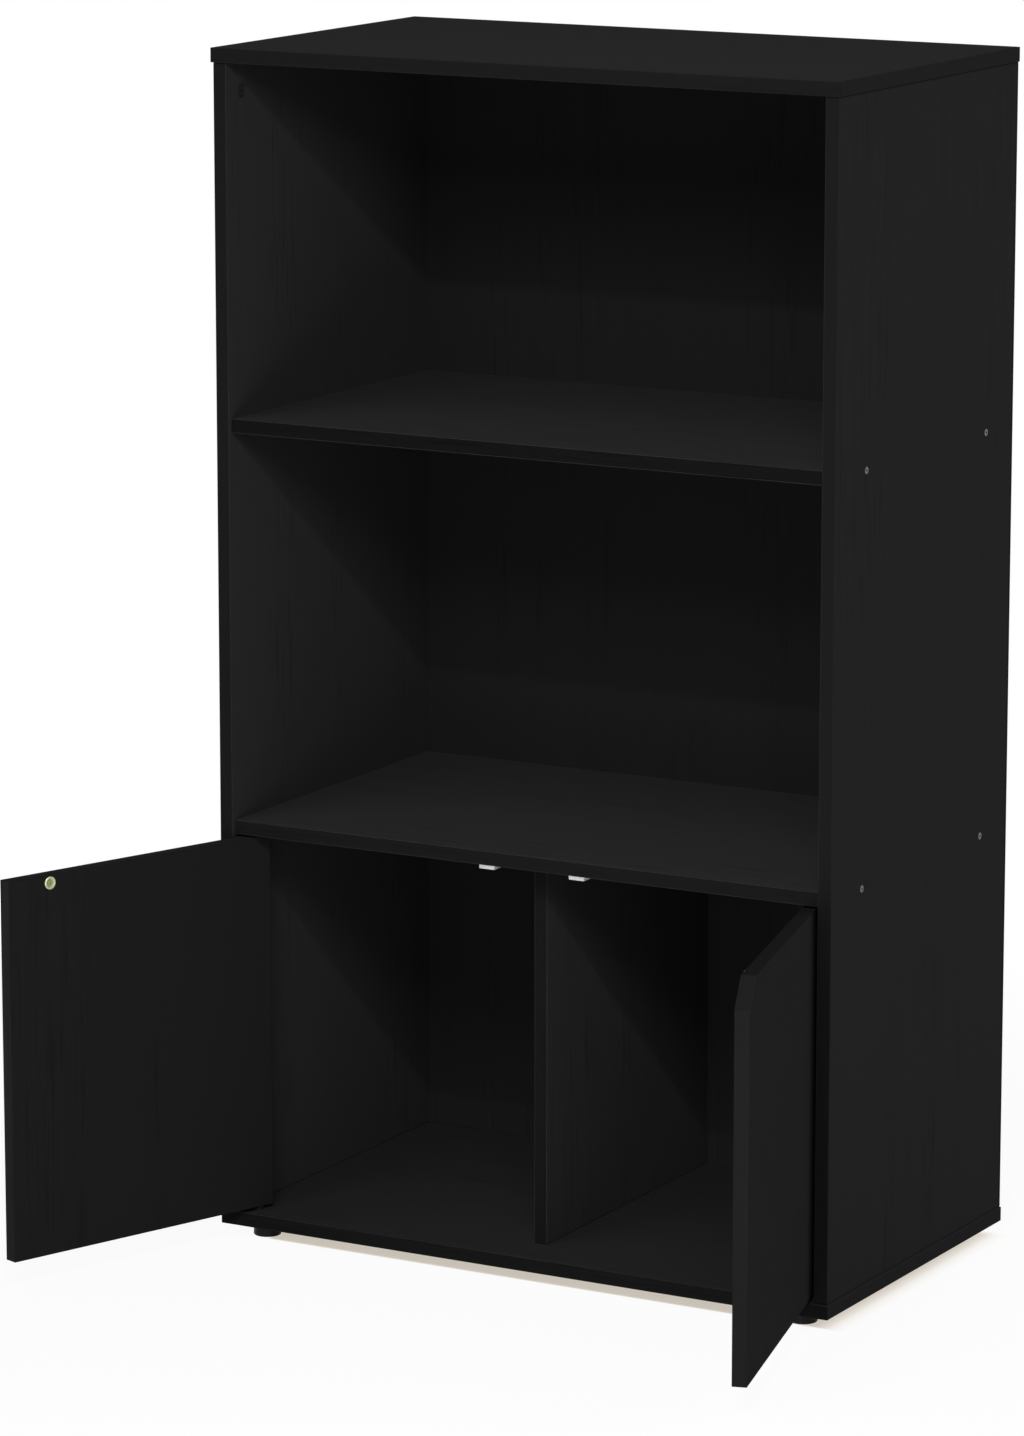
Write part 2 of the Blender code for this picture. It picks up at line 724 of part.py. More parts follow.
def door_bushes(unit, plastic):
    """Flanged bushes in the bottom panel and the middle shelf, on the doors' axes."""
    bore = PIN_SPIGOT_RADIUS + FIT_GAP
    sleeve = BLIND_DEPTH - FIT_GAP
    outline = [
        (bore, -FIT_GAP - BUSH_FLANGE),
        (BUSH_FLANGE_RADIUS, -FIT_GAP - BUSH_FLANGE),
        (BUSH_FLANGE_RADIUS, -FIT_GAP),
        (bush_radius(), -FIT_GAP),
        (bush_radius(), sleeve),
        (bore, sleeve),
    ]
    for side, hand in HANDS:
        for end, height, way in (("lower", BOTTOM_TOP, DOWN), ("upper", MIDDLE_LOW, UP)):
            mouth = Vector((hand * PIVOT_X, PIVOT_Y, height))
            turned_piece(f"{side}_{end}_bush", outline, PLAIN_SIDES, mouth, way, unit, plastic)


def catches(unit, plastic, magnet_finish, screw):
    """Magnetic catches under the middle shelf: an L-shaped housing, its magnet and its screw."""
    rear = CATCH_FRONT + CATCH_BLOCK + CATCH_LUG
    block = CATCH_FRONT + CATCH_BLOCK
    lug = CATCH_TOP - CATCH_LUG_HEIGHT
    foot = CATCH_TOP - CATCH_HEIGHT
    profile = [
        (CATCH_FRONT, CATCH_TOP),
        (CATCH_FRONT, foot),
        (block, foot),
        (block, lug),
        (rear, lug),
        (rear, CATCH_TOP),
    ]
    for side, hand in HANDS:
        left = hand * CATCH_X - CATCH_WIDTH / 2
        right = left + CATCH_WIDTH
        bm = extruded([(left, y, z) for y, z in profile], ACROSS * CATCH_WIDTH)
        name = f"{side}_catch_housing"
        housing = add_object(name, mesh_from(ease_edges(bm, CATCH_EASE, 1), name), unit, plastic)

        low = Vector((left + CATCH_WALL, CATCH_FRONT + CATCH_WALL, foot + CATCH_WALL))
        high = Vector((right - CATCH_WALL, block - CATCH_WALL, CATCH_TOP))
        tools = box(low, high + UP * OVERCUT)
        head = Vector((hand * CATCH_X, CATCH_SCREW_Y, lug))
        hole = screw_bore(head, UP, SMALL_SCREW, CATCH_LUG_HEIGHT + OVERCUT)
        join(tools, posed(turned(hole.outline, SCREW_SIDES), aim(hole.mouth, hole.way)))
        cut(housing, helper(name + "_recesses", tools, unit))

        gap = Vector((FIT_GAP, FIT_GAP, FIT_GAP))
        board(f"{side}_catch_magnet", low + gap, high - gap, unit, magnet_finish, ease=0.0)
        add_object(f"{side}_catch_screw", screw, unit, pose=aim(head, UP))


def door_axis(unit, hand, opening):
    """Empty on a door's pivot axis, turned to the door's open position."""
    side = "left" if hand < 0 else "right"
    return axis_empty(f"{side}_door_axis", (hand * PIVOT_X, PIVOT_Y, 0.0), hand * opening, unit)


def door(axis, side, hand, laminate):
    """A door board in its axis's frame, where it lies as when closed."""
    hang = hand * PIVOT_INSET
    free = -hand * DOOR_REACH
    front = -DOOR_BOARD / 2
    if side == "right":
        corner = [(free, DOOR_TOP - CORNER_CUT), (free - math.copysign(CORNER_CUT, free), DOOR_TOP)]
    else:
        corner = [(free, DOOR_TOP)]
    outline = [(hang, DOOR_LOW), (free, DOOR_LOW), *corner, (hang, DOOR_TOP)]
    bm = extruded([(x, front, z) for x, z in outline], BACKWARD * DOOR_BOARD)
    name = side + "_door"
    leaf = add_object(name, mesh_from(ease_edges(bm, EDGE_EASE), name), axis, laminate)
    strike = Vector((-hand * STRIKE_REACH, DOOR_BOARD / 2, DOOR_TOP - STRIKE_DROP))
    screw_depth = SMALL_SCREW_LENGTH - FIT_GAP - STRIKE_THICKNESS
    drill(
        leaf,
        [
            straight_bore(Vector((0.0, 0.0, DOOR_LOW)), UP, PIN_SHANK_RADIUS, PIN_SHANK_LENGTH),
            straight_bore(Vector((0.0, 0.0, DOOR_TOP)), DOWN, PIN_SHANK_RADIUS, PIN_SHANK_LENGTH),
            straight_bore(strike, FORWARD, SMALL_SCREW_SHANK_RADIUS, screw_depth),
        ],
    )


def pin_outline(seat, collar):
    """A pin from the door's edge: shank in the door, collar if it has one, and spigot as far as seat."""
    outline = [
        (0.0, -PIN_SHANK_LENGTH),
        (PIN_SHANK_RADIUS - PIN_CHAMFER, -PIN_SHANK_LENGTH),
        (PIN_SHANK_RADIUS, -PIN_SHANK_LENGTH + PIN_CHAMFER),
    ]
    if collar:
        shoulder = FIT_GAP + collar
        outline += [
            (PIN_SHANK_RADIUS, FIT_GAP),
            (PIN_COLLAR_RADIUS, FIT_GAP),
            (PIN_COLLAR_RADIUS, shoulder),
        ]
    else:
        shoulder = 0.0
        outline.append((PIN_SHANK_RADIUS, shoulder))
    outline += [
        (PIN_SPIGOT_RADIUS, shoulder),
        (PIN_SPIGOT_RADIUS, seat - PIN_CHAMFER),
        (PIN_SPIGOT_RADIUS - PIN_CHAMFER, seat),
        (0.0, seat),
    ]
    return outline


def door_pins(axis, side, steel):
    """Pivot pins in the door's edges. The collar of the lower one carries the door on its bush."""
    depth = BLIND_DEPTH - PIN_END_GAP
    ends = (
        ("lower", DOOR_LOW, DOWN, pin_outline(DOOR_LOW - BOTTOM_TOP + depth, PIN_COLLAR)),
        ("upper", DOOR_TOP, UP, pin_outline(MIDDLE_LOW - DOOR_TOP + depth, 0.0)),
    )
    for end, height, way, outline in ends:
        mouth = Vector((0.0, 0.0, height))
        turned_piece(f"{side}_door_{end}_pin", outline, PLAIN_SIDES, mouth, way, axis, steel)


def door_strike(axis, side, hand, plated, screw):
    """Round strike plate on the door's inner face, with the screw through its middle."""
    face = Vector((-hand * STRIKE_REACH, DOOR_BOARD / 2, DOOR_TOP - STRIKE_DROP))
    top = FIT_GAP + STRIKE_THICKNESS
    hole = SMALL_SCREW_SHANK_RADIUS + FIT_GAP
    sink = SMALL_SCREW_HEAD_RADIUS + FIT_GAP
    outline = [
        (hole, FIT_GAP),
        (hole, top - SMALL_SCREW_HEAD_DEPTH),
        (sink, top - HEAD_RIM),
        (sink, top),
        (STRIKE_RADIUS - STRIKE_CHAMFER, top),
        (STRIKE_RADIUS, top - STRIKE_CHAMFER),
        (STRIKE_RADIUS, FIT_GAP),
    ]
    turned_piece(f"{side}_strike_plate", outline, FINE_SIDES, face, BACKWARD, axis, plated)
    head = face + BACKWARD * top
    add_object(f"{side}_strike_screw", screw, axis, pose=aim(head, FORWARD))


def plan_middle():
    """Middle of the plan box round the carcass and the open doors, from the panels' front edge."""
    xs = [-PANEL_WIDTH / 2, PANEL_WIDTH / 2]
    ys = [0.0, PANEL_DEPTH]
    for hand, opening in ((-1, LEFT_DOOR_OPEN), (1, RIGHT_DOOR_OPEN)):
        turn = Matrix.Rotation(hand * opening, 3, "Z")
        for face in (-DOOR_BOARD / 2, DOOR_BOARD / 2):
            corner = turn @ Vector((-hand * DOOR_REACH, face, 0.0))
            xs.append(hand * PIVOT_X + corner.x)
            ys.append(PIVOT_Y + corner.y)
    return Vector(((min(xs) + max(xs)) / 2, (min(ys) + max(ys)) / 2, 0.0))


def main():
    """Build the unit with its doors standing open."""
    clear_scene()
    laminate = finish("black_laminate", (0.014, 0.013, 0.013), 0.45)
    sheet = finish("black_back_sheet", (0.012, 0.011, 0.011), 0.55)
    black_plastic = finish("black_plastic", (0.010, 0.010, 0.010), 0.50)
    white_plastic = finish("white_plastic", (0.80, 0.80, 0.78), 0.40)
    magnet = finish("ferrite", (0.060, 0.060, 0.065), 0.60)
    zinc = finish("zinc_plate", (0.55, 0.55, 0.55), 0.35, 1.0)
    yellow_zinc = finish("yellow_zinc_plate", (0.60, 0.58, 0.32), 0.35, 1.0)
    black_steel = finish("blackened_steel", (0.030, 0.030, 0.032), 0.40, 1.0)
    beech = finish("beech", (0.55, 0.38, 0.22), 0.70)

    unit = axis_empty("shelf_unit", -plan_middle())
    carcass_panels(unit, laminate, sheet)
    carcass_screws(unit, zinc)
    cam_fittings(unit, zinc)
    dowels(unit, beech)
    glides(unit, black_plastic)
    door_bushes(unit, black_plastic)
    small_screw = screw_mesh("small_screw", SMALL_SCREW, yellow_zinc)
    catches(unit, white_plastic, magnet, small_screw)
    openings = {"left": LEFT_DOOR_OPEN, "right": RIGHT_DOOR_OPEN}
    for side, hand in HANDS:
        axis = door_axis(unit, hand, openings[side])
        door(axis, side, hand, laminate)
        door_pins(axis, side, black_steel)
        door_strike(axis, side, hand, yellow_zinc, small_screw)


main()
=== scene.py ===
"""Finish the black kitchen shelf with its two-door cabinet: laminate, fittings, floor, light and camera.

Sizes are in metres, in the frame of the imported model: +Z is up and the unit's front faces -Y.
"""

from __future__ import annotations

import json
import logging
import math
from collections.abc import Callable, Sequence
from dataclasses import dataclass, field
from enum import Enum

import bmesh
import bpy
from mathutils import Matrix, Vector

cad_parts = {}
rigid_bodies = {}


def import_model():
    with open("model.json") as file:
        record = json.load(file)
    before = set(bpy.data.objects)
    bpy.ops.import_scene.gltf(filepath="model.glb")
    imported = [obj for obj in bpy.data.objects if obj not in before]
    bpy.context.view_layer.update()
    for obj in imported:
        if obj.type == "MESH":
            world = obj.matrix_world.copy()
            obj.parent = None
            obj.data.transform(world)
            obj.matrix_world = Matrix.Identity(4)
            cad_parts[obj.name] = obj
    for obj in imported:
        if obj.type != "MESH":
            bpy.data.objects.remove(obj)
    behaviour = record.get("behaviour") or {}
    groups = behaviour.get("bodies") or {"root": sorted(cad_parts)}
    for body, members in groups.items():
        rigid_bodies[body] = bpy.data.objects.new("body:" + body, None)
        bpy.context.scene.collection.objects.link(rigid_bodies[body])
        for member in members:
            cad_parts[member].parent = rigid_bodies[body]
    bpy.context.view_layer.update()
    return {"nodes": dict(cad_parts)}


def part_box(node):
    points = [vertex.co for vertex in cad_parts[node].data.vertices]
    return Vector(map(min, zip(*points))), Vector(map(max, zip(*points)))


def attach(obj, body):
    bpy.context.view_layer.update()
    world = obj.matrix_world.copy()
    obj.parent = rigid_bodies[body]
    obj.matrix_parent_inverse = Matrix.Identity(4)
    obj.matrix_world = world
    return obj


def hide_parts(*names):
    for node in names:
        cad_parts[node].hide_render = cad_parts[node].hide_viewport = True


LOG = logging.getLogger("kitchen_shelf")
OWN_PLACE = "own_place"  # attribute that keeps a fitting's corners as they were modelled
WELD = 1e-6
FULL_TURN = 2 * math.pi
SMOOTH_ANGLE = math.radians(35.0)
CROSS_DRAFT = 0.7  # width of a cross recess at its bottom, as a share of that at its mouth
UNIT = (0.0, 1.0)
NOISE_SPAN = (0.3, 0.7)  # where nearly all of a noise lies

Colour = tuple[float, float, float, float]
Point = tuple[float, float, float]
Span = tuple[float, float]
Outline = Sequence[Span]
Test = Callable[[Vector, Vector], bool]
Solid = bpy.types.Object
Finish = bpy.types.Material
Tree = bpy.types.NodeTree
Node = bpy.types.Node
Socket = bpy.types.NodeSocket

ORIGIN = (0.0, 0.0, 0.0)
UP = Vector((0.0, 0.0, 1.0))
DOWN = Vector((0.0, 0.0, -1.0))
RIGHT = Vector((1.0, 0.0, 0.0))
LEFT = Vector((-1.0, 0.0, 0.0))
BACK = Vector((0.0, 1.0, 0.0))

SIDES = {"left": LEFT, "right": RIGHT}  # each side with the way out of the unit
ROWS = ("front", "rear")


class Body(Enum):
    """What a piece rides on."""

    CARCASS = "carcass"
    LEFT_DOOR = "left_door"
    RIGHT_DOOR = "right_door"


class Slot(Enum):
    """Material slots of the record."""

    BLACK_PLASTIC = "black_plastic"
    WHITE_PLASTIC = "white_plastic"
    FERRITE = "ferrite"
    ZINC = "zinc_plate"
    YELLOW_ZINC = "yellow_zinc_plate"
    BLACKENED = "blackened_steel"
    BEECH = "beech"


class GrainRun(Enum):
    """Which way a board's grain runs, as the turn that brings it upright."""

    UPRIGHT = (0.0, 0.0, 0.0)
    ACROSS = (0.0, -math.pi / 2, 0.0)


class Pick(Enum):
    """What is picked in edit mode: the select mode and its sequence in the mesh."""

    CORNERS = ("VERT", "verts")
    FACES = ("FACE", "faces")


def grey(level: float) -> Colour:
    """Give a neutral colour of one level."""
    return (level, level, level, 1.0)


def take(*pieces: Solid) -> None:
    """Make pieces the only ones selected, and the first of them active.

    Args:
        pieces: The objects.
    """
    bpy.ops.object.select_all(action="DESELECT")
    for piece in pieces:
        piece.select_set(True)
    bpy.context.view_layer.objects.active = pieces[0]


def edit(piece: Solid) -> None:
    """Open a piece in edit mode, all its corners selected.

    Args:
        piece: The object.
    """
    take(piece)
    bpy.ops.object.mode_set(mode="EDIT")
    bpy.ops.mesh.select_mode(type="VERT")
    bpy.ops.mesh.select_all(action="SELECT")


def close_edit() -> None:
    """Go back from edit mode."""
    bpy.ops.object.mode_set(mode="OBJECT")


def pick(piece: Solid, what: Pick, test: Test) -> None:
    """Select the parts of a mesh in edit mode that pass a test.

    Args:
        piece: The object in edit mode.
        what: Corners or faces.
        test: Takes a part's middle and its normal.
    """
    bpy.ops.mesh.select_mode(type=what.value[0])
    bpy.ops.mesh.select_all(action="DESELECT")
    shape = bmesh.from_edit_mesh(piece.data)
    shape.normal_update()
    for part in getattr(shape, what.value[1]):
        middle = part.co if what is Pick.CORNERS else part.calc_center_median()
        part.select_set(test(middle, part.normal))
    shape.select_flush_mode()
    bmesh.update_edit_mesh(piece.data)


def close_seams() -> None:
    """Merge doubles in edit mode and turn every face outwards."""
    bpy.ops.mesh.select_all(action="SELECT")
    bpy.ops.mesh.remove_doubles(threshold=WELD)
    bpy.ops.mesh.normals_make_consistent(inside=False)


def turned(name: str, outline: Outline, sides: int) -> Solid:
    """Turn a piece about Z, as on a lathe: an outline is drawn by extruding one corner, then spun.

    Args:
        name: The new object's name.
        outline: Points of (radius, height), from axis to axis, or off it and back to the first.
        sides: How many sides the spin has.

    Returns:
        The closed piece, with its axis at the origin.
    """
    bpy.ops.object.select_all(action="DESELECT")
    bpy.ops.mesh.primitive_plane_add(size=outline[-1][1] - outline[0][1] or 1.0)
    piece = bpy.context.object
    piece.name = name
    edit(piece)
    bpy.ops.mesh.merge(type="CENTER")
    bpy.ops.transform.translate(value=(outline[0][0], 0.0, outline[0][1]))
    for before, after in zip(outline, outline[1:]):
        step = (after[0] - before[0], 0.0, after[1] - before[1])
        bpy.ops.mesh.extrude_region_move(TRANSFORM_OT_translate={"value": step})
    bpy.ops.mesh.select_all(action="SELECT")
    bpy.ops.mesh.spin(steps=sides, angle=FULL_TURN, center=ORIGIN, axis=UP)
    close_seams()
    close_edit()
    return piece


def block(name: str, low: Vector, high: Vector) -> Solid:
    """Start a piece from a cube that fills a box.

    Args:
        name: The new object's name.
        low: The box's least corner.
        high: Its greatest corner.

    Returns:
        The piece, at the origin with its place in its mesh.
    """
    bpy.ops.object.select_all(action="DESELECT")
    bpy.ops.mesh.primitive_cube_add(size=1.0, location=(low + high) / 2, scale=high - low)
    piece = bpy.context.object
    piece.name = name
    bpy.ops.object.transform_apply(location=True, rotation=True, scale=True)
    return piece


def move_to(piece: Solid, matrix: Matrix) -> None:
    """Move a piece from the origin, its place kept in its mesh.

    Args:
        piece: The object.
        matrix: Where it goes.
    """
    take(piece)
    piece.matrix_world = matrix
    bpy.ops.object.transform_apply(location=True, rotation=True, scale=True)


def along(mouth: Vector, way: Vector) -> Matrix:
    """Give the matrix that lays Z along a way from a mouth."""
    return Matrix.Translation(mouth) @ way.to_track_quat("Z", "Y").to_matrix().to_4x4()


def round_edges(piece: Solid, width: float, segments: int) -> None:
    """Round the sharp edges of a piece.

    Args:
        piece: The object.
        width: How wide the rounding is.
        segments: How many steps it has.
    """
    take(piece)
    bevel = piece.modifiers.new("round", "BEVEL")
    bevel.width = width
    bevel.segments = segments
    bevel.limit_method = "ANGLE"
    bevel.angle_limit = SMOOTH_ANGLE
    bpy.ops.object.modifier_apply(modifier=bevel.name)


def cut(piece: Solid, tool: Solid) -> None:
    """Cut a tool's volume out of a piece, and put the tool away.

    Args:
        piece: The object that is cut.
        tool: The object that cuts.
    """
    take(piece)
    boolean = piece.modifiers.new("cut", "BOOLEAN")
    boolean.object = tool
    boolean.operation = "DIFFERENCE"
    boolean.solver = "EXACT"
    boolean.use_self = True
    bpy.ops.object.modifier_apply(modifier=boolean.name)
    bpy.data.objects.remove(tool)
    edit(piece)
    close_seams()
    close_edit()


def cross_tool(span: float, width: float, depth: float, taper: float) -> Solid:
    """Make the tool of a cross recess that sinks into a face at Z 0, narrower at its end.

    Args:
        span: Length of an arm from end to end.
        width: Width of an arm.
        depth: How far it sinks.
        taper: Length of an arm at the bottom, as a share of its span.

    Returns:
        The tool.
    """
    half = Vector((span / 2, width / 2, depth))
    tool = block("cross_tool", -half, half)
    edit(tool)
    pick(tool, Pick.FACES, lambda middle, normal: normal.z > 0.5)
    bpy.ops.transform.resize(value=(taper, CROSS_DRAFT, 1.0), center_override=(0.0, 0.0, depth))
    bpy.ops.mesh.select_all(action="SELECT")
    bpy.ops.mesh.duplicate()
    bpy.ops.transform.rotate(value=math.pi / 2, orient_axis="Z", center_override=ORIGIN)
    close_edit()
    return tool


def widen(piece: Solid, factor: float, test: Test) -> None:
    """Scale the corners that pass a test away from the Z axis, or towards it.

    Args:
        piece: The object.
        factor: The scale.
        test: Takes a corner's place and normal.
    """
    edit(piece)
    pick(piece, Pick.CORNERS, test)
    bpy.ops.transform.resize(value=(factor, factor, 1.0), center_override=ORIGIN)
    close_edit()


def thread_core(radius: float, start: float, length: float, count: int) -> list[Span]:
    """Space the corners of an outline along the core of a thread."""
    return [(radius, start + length * index / count) for index in range(count + 1)]


def on_crest(place: Vector, start: float, pitch: float, rings: int) -> bool:
    """Tell whether a corner of a thread's core lies on the crest, one of so many rings in each turn."""
    turns = (place.z - start) / pitch - math.atan2(place.y, place.x) / FULL_TURN
    return turns % 1.0 < 0.999 / rings


def paint(piece: Solid, *finishes: Finish) -> None:
    """Give a piece its finishes, the first one all over.

    Args:
        piece: The object.
        finishes: Its materials.
    """
    piece.data.materials.clear()
    for finish in finishes:
        piece.data.materials.append(finish)


def finished(piece: Solid, *finishes: Finish) -> Solid:
    """Shade a piece smooth, its corners kept sharp, note its modelled place for its finish, and paint it.

    Args:
        piece: The object as modelled.
        finishes: Its materials, the first one all over.

    Returns:
        The piece.
    """
    take(piece)
    bpy.ops.object.shade_smooth_by_angle(angle=SMOOTH_ANGLE)
    marks = piece.data.attributes.new(OWN_PLACE, "FLOAT_VECTOR", "POINT")
    marks.data.foreach_set("vector", [axis for corner in piece.data.vertices for axis in corner.co])
    paint(piece, *finishes)
    return piece


def paint_faces(piece: Solid, index: int, test: Test) -> None:
    """Give the faces that pass a test one of the piece's further finishes.

    Args:
        piece: The object.
        index: Which of its finishes.
        test: Takes a face's middle and normal.
    """
    edit(piece)
    pick(piece, Pick.FACES, test)
    piece.active_material_index = index
    bpy.ops.object.material_slot_assign()
    close_edit()


def copy_to(model: Solid, name: str, mouth: Vector, way: Vector) -> Solid:
    """Copy a model with its own mesh, its Z axis laid along a way from a mouth.

    Args:
        model: The piece as modelled at the origin.
        name: The copy's name.
        mouth: Where the model's origin goes.
        way: Where the model's Z axis points.

    Returns:
        The copy, with its place in its mesh.
    """
    take(model)
    bpy.ops.object.duplicate(linked=False)
    piece = bpy.context.object
    piece.name = name
    piece.data.name = name
    move_to(piece, along(mouth, way))
    return piece


def put_away(*models: Solid) -> None:
    """Remove models that have been copied."""
    for model in models:
        bpy.data.objects.remove(model)


def settle(piece: Solid, body: Body, slot: Slot, *nodes: str) -> None:
    """Let a finished piece ride on its body and stand for its nodes.

    Args:
        piece: The object.
        body: What it rides on.
        slot: Its material slot; not used.
        nodes: The nodes that it stands for, if any.
    """
    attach(piece, body.value)
    if nodes:
        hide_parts(*nodes)
    LOG.info("%s rides on %s", piece.name, body.value)


def middle_of(node: str) -> Vector:
    """Give the middle of a node's box."""
    low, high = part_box(node)
    return (low + high) / 2


def extent(node: str, way: Vector) -> float:
    """Give the size of a node's box along an axis."""
    low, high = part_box(node)
    return abs((high - low).dot(way))


def start_of(node: str, way: Vector) -> Vector:
    """Give the middle of that face of a node's box at which a way along an axis enters it."""
    return middle_of(node) - way * (extent(node, way) / 2)


def seat(model: Solid, node: str, ending: str, way: Vector, body: Body, slot: Slot) -> None:
    """Copy a model to a node's place, its Z axis along a way, and let the copy stand for the node.

    Args:
        model: The piece as modelled at the origin.
        node: The node.
        ending: What the copy's name adds to the node's.
        way: Where the model's Z axis points.
        body: What the copy rides on.
        slot: Its material slot.
    """
    piece = copy_to(model, node + ending, start_of(node, way), way)
    settle(piece, body, slot, node)


class Wiring:
    """A node tree that is being wired."""

    def __init__(self, tree: Tree) -> None:
        """Start on a tree, emptied first."""
        self.tree = tree
        tree.nodes.clear()

    def feed(self, socket: Socket, value: object) -> None:
        """Link a socket to another, or set its value.

        Args:
            socket: A node's input.
            value: Another node's output, or a constant.
        """
        if isinstance(value, Socket):
            self.tree.links.new(value, socket)
        else:
            socket.default_value = value

    def node(self, kind: str, values: dict | None = None, **settings: object) -> Node:
        """Add a node.

        Args:
            kind: The node's type.
            values: What its inputs get, by number or name.
            settings: The node's properties.

        Returns:
            The node.
        """
        made = self.tree.nodes.new(kind)
        for name, value in settings.items():
            setattr(made, name, value)
        for key, value in (values or {}).items():
            self.feed(made.inputs[key], value)
        return made

    def math(self, operation: str, *values: object, clamp: bool = False) -> Socket:
        """Add a Math node on sockets or numbers."""
        fed = dict(enumerate(values))
        return self.node("ShaderNodeMath", fed, operation=operation, use_clamp=clamp).outputs[0]

    def vector(self, operation: str, *values: object) -> Node:
        """Add a Vector Math node on sockets or vectors."""
        return self.node("ShaderNodeVectorMath", dict(enumerate(values)), operation=operation)

    def axes(self, place: Socket) -> list[Socket]:
        """Split a place into X, Y and Z."""
        return list(self.node("ShaderNodeSeparateXYZ", {0: place}).outputs)

    def noise(self, place: Socket, stretch: Point, detail: float, rough: float = 0.5) -> Socket:
        """Add a Noise texture.

        Args:
            place: Where it is read.
            stretch: Its scale along each axis.
            detail: How many finer layers it has.
            rough: How strong they are.

        Returns:
            The noise, about 0.5.
        """
        spread = self.vector("MULTIPLY", place, stretch).outputs[0]
        values = {"Vector": spread, "Scale": 1.0, "Detail": detail, "Roughness": rough}
        return self.node("ShaderNodeTexNoise", values).outputs["Fac"]

    def remap(self, value: Socket, source: Span, target: Span) -> Socket:
        """Map one range of a value smoothly onto another, clamped.

        Args:
            value: The value.
            source: Its range.
            target: What the ends of the range become.

        Returns:
            The mapped value.
        """
        ends = {"From Min": source[0], "From Max": source[1], "To Min": target[0], "To Max": target[1]}
        made = self.node("ShaderNodeMapRange", {"Value": value, **ends}, interpolation_type="SMOOTHSTEP")
        return made.outputs["Result"]

    def blend(self, factor: Socket, first: object, second: object) -> Socket:
        """Mix two colours by a factor."""
        return self.node("ShaderNodeMix", {0: factor, 6: first, 7: second}, data_type="RGBA").outputs[2]

    def tones(self, factor: Socket, level: float, contrast: float) -> Socket:
        """Spread greys about one level."""
        return self.blend(factor, grey(level * (1 - contrast)), grey(level * (1 + contrast)))

    def bump(self, height: Socket, strength: float, distance: float) -> Socket:
        """Turn a height into a normal."""
        values = {"Height": height, "Strength": strength, "Distance": distance}
        return self.node("ShaderNodeBump", values).outputs["Normal"]

    def group(self, tree: Tree, **values: object) -> bpy.types.bpy_prop_collection:
        """Place a node group, feed its inputs by name and give its outputs."""
        return self.node("ShaderNodeGroup", values, node_tree=tree).outputs


class FinishWiring(Wiring):
    """The wiring of a new material."""

    def __init__(self, name: str) -> None:
        """Start a material.

        Args:
            name: The material's name.
        """
        self.material = bpy.data.materials.new(name)
        self.material.use_nodes = True
        super().__init__(self.material.node_tree)

    def show(self, surface: Socket) -> None:
        """Link a surface to the material's output."""
        self.node("ShaderNodeOutputMaterial", {"Surface": surface})

    def shade(self, values: dict[str, object]) -> Finish:
        """Close the material with its shader.

        Args:
            values: What the shader's inputs get, by name.

        Returns:
            The material.
        """
        shader = self.node("ShaderNodeBsdfPrincipled", values)
        self.show(shader.outputs["BSDF"])
        return self.material

    def own_place(self) -> Socket:
        """Read a fitting's place as it was modelled."""
        return self.node("ShaderNodeAttribute", attribute_name=OWN_PLACE).outputs["Vector"]

    def object_place(self) -> Socket:
        """Read the place on an object."""
        return self.node("ShaderNodeTexCoord").outputs["Object"]

    def board_place(self, lay: BoardLay) -> Socket:
        """Read the place on a board, from its middle and along its own axes."""
        values = {"Vector": self.object_place(), "Location": lay.middle, "Rotation": (0.0, 0.0, lay.turn)}
        return self.node("ShaderNodeMapping", values, vector_type="TEXTURE").outputs[0]


class EffectGroup:
    """A shader node group with named inputs and outputs, built once."""

    name = "effect"
    inputs: tuple[tuple[str, str], ...] = (("Place", "NodeSocketVector"),)
    outputs: tuple[str, ...] = ("Tone", "Gloss", "Height")

    def __init__(self) -> None:
        """Make the group's sockets, then wire what is between them."""
        self.tree = bpy.data.node_groups.new(self.name, "ShaderNodeTree")
        for label, kind in self.inputs:
            self.tree.interface.new_socket(label, in_out="INPUT", socket_type=kind)
        for label in self.outputs:
            self.tree.interface.new_socket(label, in_out="OUTPUT", socket_type="NodeSocketFloat")
        self.wiring = Wiring(self.tree)
        self.given = self.wiring.node("NodeGroupInput").outputs
        self.result = self.wiring.node("NodeGroupOutput").inputs
        self.wire()

    def wire(self) -> None:
        """Wire the group; each effect has its own."""
        raise NotImplementedError


